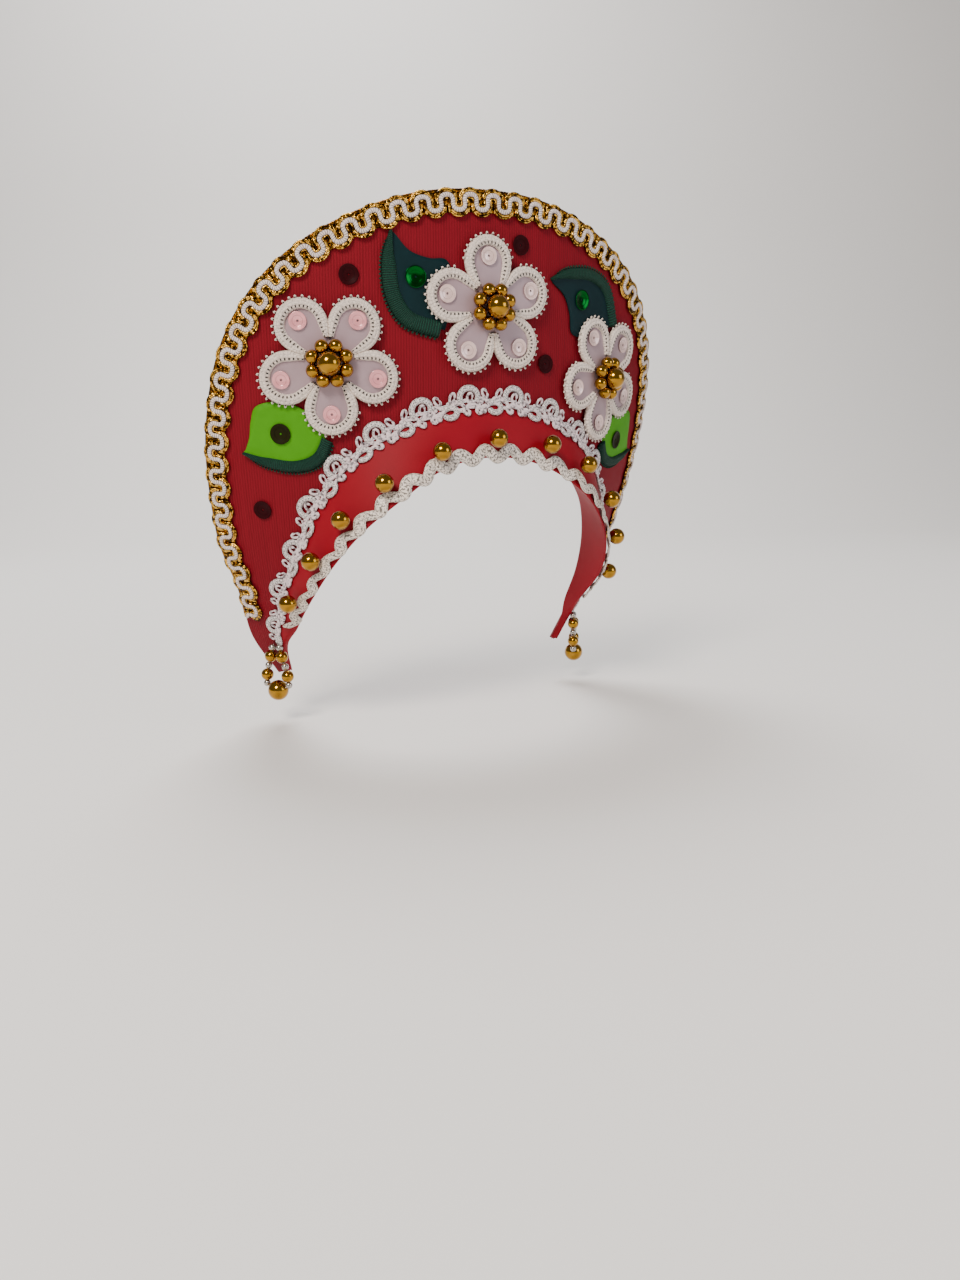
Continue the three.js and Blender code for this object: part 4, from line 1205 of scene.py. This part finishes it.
# Leaves
# Four curved leaves of satin, dark teal above and lime below, each with a thick dark green gimp
# along its round side and a green cup sequin. Small loops stand out along the gimp.
LEAF_CORD_LINE = [(0, 0), (-4, -12.5), (-2.6, -29), (6, -41.5), (24, -47)]
LEAF_CORD_WIDTH = [1.2, 5.6, 6.4, 6.6, 6.6]
LEAF_OPEN_LINES = {
    "dark_leaf": [(2.4, -1.4), (9, -8.3), (18, -11.2), (27, -12), (31, -23)],
    "lime_leaf": [(2.4, -1.4), (9, -2.6), (17, -2.6), (25, -5), (31, -18)],
}
LEAF_LIFT = 0.3
LEAF_RISE = 1  # of the satin's front
LEAF_WALL = 0.8
LEAF_TUCK = 0.7  # share of the gimp's width at which the satin begins
LEAF_CELLS = (28, 10)
LEAF_CORD_CELLS = (90, 14)
LEAF_CORD_HEIGHT = 2.2
LEAF_CORD_SECTION = {"dome": 3, "ridge": 0.35, "lift": 0.2}
LEAF_CORD_MAP = (0.075, 1)  # metres along the gimp and share across it
LEAF_LOOP = {"first": 0.1, "last": 0.98, "count": 32, "width": 1.1, "height": 0.9}
LEAF_LOOP_LINE = [(0.12, 0.9), (0.02, 0.8), (-0.1, 0.7), (-0.17, 0.6)]  # across the gimp, and lift
LEAF_SEQUIN_RADIUS = 4.8
DARK_LEAF_COLOUR = "#042428"
DARK_LEAF_SHADE = "#031c20"
LIME_LEAF_COLOUR = "#479408"
LIME_LEAF_SHADE = "#3f8606"
GIMP_GREEN = "#0a4030"
GIMP_DARK = "#042018"
LEAF_MOTTLE_SCALE = 160.0  # patches about 6 mm across
GIMP_WINDING_SCALE = 260.0  # a ridge in 1.2 mm
GIMP_WINDING_DEPTH = 0.4
EMERALD_COLOUR = "#06501b"
OLIVE_COLOUR = "#1d1c05"
LEAVES = {
    "upper_left": {
        "x": -49.4, "z": 105.2, "turn": 0, "side": 1, "size": 1, "cord": 1.25, "end": 0.97,
        "sequin": (11.5, -19.5), "slot": "dark_leaf",
    },
    "upper_right": {
        "x": 33.5, "z": 89.3, "turn": 98, "side": -1, "size": 1, "cord": 1, "end": 1.0,
        "sequin": (11.5, -19.5), "slot": "dark_leaf",
    },
    "lower_left": {
        "x": -111, "z": 8.4, "turn": 75, "side": 1, "size": 0.98, "cord": 1, "end": 0.9,
        "sequin": (14.4, -18.1), "slot": "lime_leaf",
    },
    "lower_right": {
        "x": 110.5, "z": 6.6, "turn": -75, "side": -1, "size": 0.94, "cord": 1, "end": 0.88,
        "sequin": (12.5, -23.1), "slot": "lime_leaf",
    },
}


def cord_point(t, across):
    """Points across the leaf's gimp at a share of its length: 0 is its outer side, 1 its inner."""
    place = np.asarray(t) * (len(LEAF_CORD_LINE) - 1)
    line = through(LEAF_CORD_LINE, place)
    along = unit(through(LEAF_CORD_LINE, place + STEP) - through(LEAF_CORD_LINE, place - STEP))
    width = through(np.array(LEAF_CORD_WIDTH)[:, None], place)
    return line + np.stack([-along[:, 1], along[:, 0]], -1) * width * np.expand_dims(across, -1)


def leaf_placer(leaf):
    lay = patch(leaf["x"], leaf["z"])

    def place(flat, lift):
        sized = flat * np.array([leaf["side"], 1]) * leaf["size"]
        p = turned(sized, math.radians(leaf["turn"]))
        return lay(p[:, 0], p[:, 1], lift)
    return place


def leaf_fill(place, open_line):
    def point(u, v):
        inner = cord_point(u, LEAF_TUCK + 0 * u)
        opened = through(open_line, u * (len(open_line) - 1))
        return place(inner + (opened - inner) * v[:, None], LEAF_LIFT + LEAF_RISE + 0 * u)
    return laid_grid(LEAF_CELLS, point)


def leaf_gimp(place, end, wide):
    """The gimp's domed, ridged strip and the loops along its outer side."""
    def point(u, v):
        face = np.clip(v / FRONT_SHARE, 0, 1)
        under = np.clip((v - FRONT_SHARE) / (1 - FRONT_SHARE), 0, 1)
        dome = LEAF_CORD_HEIGHT * (1 - np.abs(2 * face - 1) ** LEAF_CORD_SECTION["dome"])
        ridge = LEAF_CORD_SECTION["ridge"] * np.abs(np.sin(2 * math.pi * face))
        lift = LEAF_LIFT + LEAF_CORD_SECTION["lift"] + (dome + ridge) * (under == 0)
        return place(cord_point(u * end, wide * (face - under)), lift)
    bm = laid_grid(LEAF_CORD_CELLS, point, LEAF_CORD_MAP)
    across, lift = np.array(LEAF_LOOP_LINE).T
    for t in np.linspace(LEAF_LOOP["first"], LEAF_LOOP["last"], LEAF_LOOP["count"]) * end:
        flat = cord_point(t + 0 * across, across)
        path = place(flat, LEAF_LIFT + lift)
        lifted = place(flat, LEAF_LIFT + lift + 1)
        add_strand(bm, path, unit(lifted - path), LEAF_LOOP["width"], LEAF_LOOP["height"], sides=5)
    close_strands(bm)
    return bm


# Flat polyester satin, glued down. Dyed an even colour, with a soft gloss.
def leaf_satin(name, colour, shade):
    material, tree, shader = new_material(name, colour, Roughness=0.6)
    shader.inputs["Specular IOR Level"].default_value = 0.15
    solid = add(tree, "ShaderNodeTexCoord")
    broad = add(
        tree, "ShaderNodeTexNoise",
        {"Vector": solid.outputs["Object"], "Scale": LEAF_MOTTLE_SCALE},
    )
    add(
        tree, "ShaderNodeMix",
        {"Factor": broad.outputs["Fac"], "A": linear(colour), "B": linear(shade)},
        {"Result": shader.inputs["Base Color"]}, data_type="RGBA",
    )
    return material


# Rayon gimp wound over a cord core. The windings show as fine ridges across it.
def green_gimp():
    material, tree, shader = new_material("dark green rayon gimp", GIMP_GREEN, Roughness=0.7)
    shader.inputs["Specular IOR Level"].default_value = 0.25
    place = add(tree, "ShaderNodeUVMap", uv_map="UVMap")
    windings = add(
        tree, "ShaderNodeTexWave",
        {"Vector": place.outputs["UV"], "Scale": GIMP_WINDING_SCALE, "Distortion": 1.0},
        wave_type="BANDS", bands_direction="X",
    )
    add(
        tree, "ShaderNodeMix",
        {"Factor": windings.outputs["Fac"], "A": linear(GIMP_GREEN), "B": linear(GIMP_DARK)},
        {"Result": shader.inputs["Base Color"]}, data_type="RGBA",
    )
    add(
        tree, "ShaderNodeBump",
        {"Height": windings.outputs["Fac"], "Distance": GIMP_WINDING_DEPTH * MM, "Strength": 0.9},
        {"Normal": shader.inputs["Normal"]},
    )
    return material


GREEN_GIMP = green_gimp()
LEAF_SATINS = {
    "dark_leaf": leaf_satin("dark teal satin", DARK_LEAF_COLOUR, DARK_LEAF_SHADE),
    "lime_leaf": leaf_satin("lime green satin", LIME_LEAF_COLOUR, LIME_LEAF_SHADE),
}
LEAF_SEQUIN_FILMS = {
    "dark_leaf": sequin_film(
        "emerald sequin film", EMERALD_COLOUR, metallic=1.0, roughness=0.2, coat=0.0,
    ),
    "lime_leaf": sequin_film(
        "olive sequin film", OLIVE_COLOUR, metallic=0.1, roughness=0.5, coat=0.0, gleam=0.08,
    ),
}
for name, leaf in LEAVES.items():
    leaf_place = leaf_placer(leaf)
    leaf_bm = leaf_fill(leaf_place, LEAF_OPEN_LINES[leaf["slot"]])
    face_towards(leaf_bm, (0, -1, 0))
    slot = leaf["slot"]
    satin = show(f"leaf_{name}_satin", leaf_bm, LEAF_SATINS[slot], slot, f"leaf_{name}")
    thicken(satin, LEAF_WALL)
    gimp_bm = leaf_gimp(leaf_place, leaf["end"], leaf["cord"])
    show(f"leaf_{name}_gimp", gimp_bm, GREEN_GIMP, "green_cord", f"leaf_{name}_cord")
    sized = np.array([leaf["sequin"]]) * np.array([leaf["side"], 1]) * leaf["size"]
    leaf_spot = turned(sized, math.radians(leaf["turn"]))[0]
    add_sequin(
        f"leaf_{name}_cup_sequin", patch(leaf["x"], leaf["z"]), leaf_spot[0], leaf_spot[1],
        LEAF_LIFT + SEQUIN_LIFT, LEAF_SEQUIN_RADIUS, LEAF_SEQUIN_FILMS[slot],
        "green_sequin", f"leaf_{name}_sequin",
    )

# Ground sequins
# Dark red cup sequins, stamped from plastic film and sewn singly on the bare cloth of the
# shield.
MAROON_COLOUR = "#2a0408"
GROUND_SEQUIN_RADIUS = 4.5
GROUND_SEQUIN_LIFT = 0.4
GROUND_SEQUINS = {
    "upper_left": (-67.2, 86.3), "lower_left": (-102.7, -18.7),
    "crown": (15.7, 102.6), "brow": (31.7, 48.9),
}
MAROON_FILM = sequin_film(
    "maroon sequin film", MAROON_COLOUR, metallic=0.0, roughness=0.5, coat=0.0, gleam=0.06,
)
for name, (x, z) in GROUND_SEQUINS.items():
    add_sequin(
        f"ground_sequin_{name}", patch(x, z), 0.0, 0.0, GROUND_SEQUIN_LIFT, GROUND_SEQUIN_RADIUS,
        MAROON_FILM, "red_sequin", f"sequin_{name}",
    )

# Pendants
# A loop of thread below each tip, strung with gilt beads and small pearls, with one large gilt
# bead at the bottom. It hangs free from a stitch at the end of the lace.
PENDANT_TOP = {"x": 91.5, "z": -91.4, "lift": 2.6}
THREAD_WIDTH = 0.7
THREAD_STEPS = 60

# Distance from the middle and drop along half the loop, then the same of each bead with its radius.
PENDANT_LINE = [(1.4, -1.5), (3.7, 5.2), (6.9, 15.4), (6.4, 20.6), (0, 23.5)]
PENDANT_GILT = [(3.7, 5.2, 3.3), (6.9, 15.4, 3.3), (0, 23.5, 5.5)]
PENDANT_PEARLS = [(2.4, 0.4, 1.9), (5.6, 10.3, 1.9), (7.4, 20.2, 1.9)]
PEARL_COLOUR = "#aaa49c"


# Moulded plastic pearl under a lustre lacquer. It is silvery white with a soft, deep gloss.
def pearl_lacquer():
    return new_material(
        "pearl lacquer", PEARL_COLOUR, Metallic=0.85, Roughness=0.2, Coat_Weight=0.8,
    )[0]


PEARL_LACQUER = pearl_lacquer()
for name, side in (("left", -1), ("right", 1)):
    top_x = np.array(side * PENDANT_TOP["x"])
    top_z = np.array(float(PENDANT_TOP["z"]))
    top = on_shield(top_x, top_z, PENDANT_TOP["lift"])
    outward = shield_normal(top_x, top_z)
    sideways = unit(np.array([-outward[1], outward[0], 0]))

    def hang(across, drop):
        return top + sideways * across - np.array([0, 0, drop])

    knots = [hang(-a, d) for a, d in PENDANT_LINE]
    knots += [hang(a, d) for a, d in PENDANT_LINE[-2::-1]]
    thread_path = through(knots, np.linspace(0, len(knots) - 1, THREAD_STEPS))
    thread_front = np.tile(outward, (THREAD_STEPS, 1))
    pendant_bm = bmesh.new()
    add_strand(pendant_bm, thread_path, thread_front, THREAD_WIDTH, THREAD_WIDTH)
    close_strands(pendant_bm)
    show(f"pendant_{name}_thread", pendant_bm, COTTON_CORD, "white_trim")
    gilt_bm = bmesh.new()
    for across, drop, radius in PENDANT_GILT:
        for way in (-1, 1) if across else (1,):
            add_ball(gilt_bm, hang(way * across, drop), radius, segments=36)
    show(f"pendant_{name}_gilt_beads", gilt_bm, GILT, "gilt_bead", f"pendant_{name}")
    pearl_bm = bmesh.new()
    for across, drop, radius in PENDANT_PEARLS:
        for way in (-1, 1):
            add_ball(pearl_bm, hang(way * across, drop), radius, segments=24)
    show(f"pendant_{name}_pearls", pearl_bm, PEARL_LACQUER, "white_trim")

# Floor, light and camera
# A pale floor that sweeps up behind, a large soft lamp at the upper left and weaker ones
# beside it, all in metres.
FLOOR_Z = -0.135
FLOOR_FRONT = 1.6
FLOOR_WIDTH = 7
SWEEP_DEPTH = 1.1
SWEEP_HEIGHT = 2.2
SWEEP_ROUNDING = 0.7
FLOOR_COLOUR = "#e6e3e0"
ROOM_COLOUR = "#e4e2e0"
ROOM_STRENGTH = 0.3
CAMERA_AZIMUTH = math.radians(27.07)
CAMERA_PITCH = math.radians(10.75)
CAMERA_ROLL = math.radians(-1.28)
CAMERA_PLACE = (-0.2276, -0.4298, 0.005)
PHOTO_HEIGHT_PX = 1280
FOCAL_PX = 972.6
SENSOR = 36


def backdrop_point(u, v):
    """A floor that runs back, turns up in a wide curve and rises behind the object."""
    bend = SWEEP_ROUNDING * math.pi / 2
    flat_run = SWEEP_DEPTH + FLOOR_FRONT
    run = v * (flat_run + bend + SWEEP_HEIGHT)
    turn = np.clip((run - flat_run) / SWEEP_ROUNDING, 0, math.pi / 2)
    y = np.minimum(run, flat_run) - FLOOR_FRONT + SWEEP_ROUNDING * np.sin(turn)
    z = FLOOR_Z + SWEEP_ROUNDING * (1 - np.cos(turn)) + np.maximum(run - flat_run - bend, 0)
    return np.stack([(u - 0.5) * FLOOR_WIDTH, y, z], -1)


floor_bm = laid_grid((4, 90), backdrop_point)
face_towards(floor_bm, (0, -1, 1))
floor_mesh = bpy.data.meshes.new("floor")
floor_bm.to_mesh(floor_mesh)
floor_bm.free()
floor_mesh.shade_smooth()
STUDIO_PAPER = new_material("pale studio paper", FLOOR_COLOUR, Roughness=0.9)[0]
floor_mesh.materials.append(STUDIO_PAPER)
floor = bpy.data.objects.new("floor", floor_mesh)
bpy.context.scene.collection.objects.link(floor)
floor.rotation_euler.z = -CAMERA_AZIMUTH


def add_lamp(name, place, aim, size, power, colour):
    """A square soft lamp at a place, aimed at a point."""
    lamp = bpy.data.lights.new(name, "AREA")
    lamp.size = size
    lamp.energy = power
    lamp.color = linear(colour)[:3]
    holder = bpy.data.objects.new(name, lamp)
    holder.location = place
    holder.rotation_euler = (Vector(aim) - Vector(place)).to_track_quat("-Z", "Y").to_euler()
    bpy.context.scene.collection.objects.link(holder)


add_lamp("key lamp", (-0.9, -0.75, 0.95), (0, 0, 0), 0.45, 25, "#fff6ec")
add_lamp("fill lamp", (0.9, -1.1, 0.35), (0, 0, 0), 0.7, 6, "#f1f4ff")
add_lamp("back lamp", (0.1, 0.9, 1.6), (0, 1.0, 0), 1.0, 40, "#ffffff")

world = bpy.data.worlds.new("studio")
world.use_nodes = True
room_light = world.node_tree.nodes["Background"]
room_light.inputs["Color"].default_value = linear(ROOM_COLOUR)
room_light.inputs["Strength"].default_value = ROOM_STRENGTH
bpy.context.scene.world = world

forward = Vector((
    math.sin(CAMERA_AZIMUTH) * math.cos(CAMERA_PITCH),
    math.cos(CAMERA_AZIMUTH) * math.cos(CAMERA_PITCH),
    -math.sin(CAMERA_PITCH),
))
level_right = Vector((math.cos(CAMERA_AZIMUTH), -math.sin(CAMERA_AZIMUTH), 0))
level_up = level_right.cross(forward)
right = math.cos(CAMERA_ROLL) * level_right + math.sin(CAMERA_ROLL) * level_up
up = math.cos(CAMERA_ROLL) * level_up - math.sin(CAMERA_ROLL) * level_right
camera_data = bpy.data.cameras.new("camera")
camera_data.sensor_fit = "VERTICAL"
camera_data.sensor_height = SENSOR
camera_data.lens = FOCAL_PX / PHOTO_HEIGHT_PX * SENSOR
camera_data.clip_start = 0.01
camera = bpy.data.objects.new("camera", camera_data)
camera_axes = Matrix((right, up, -forward)).transposed().to_4x4()
camera.matrix_world = Matrix.Translation(CAMERA_PLACE) @ camera_axes
bpy.context.scene.collection.objects.link(camera)
bpy.context.scene.camera = camera
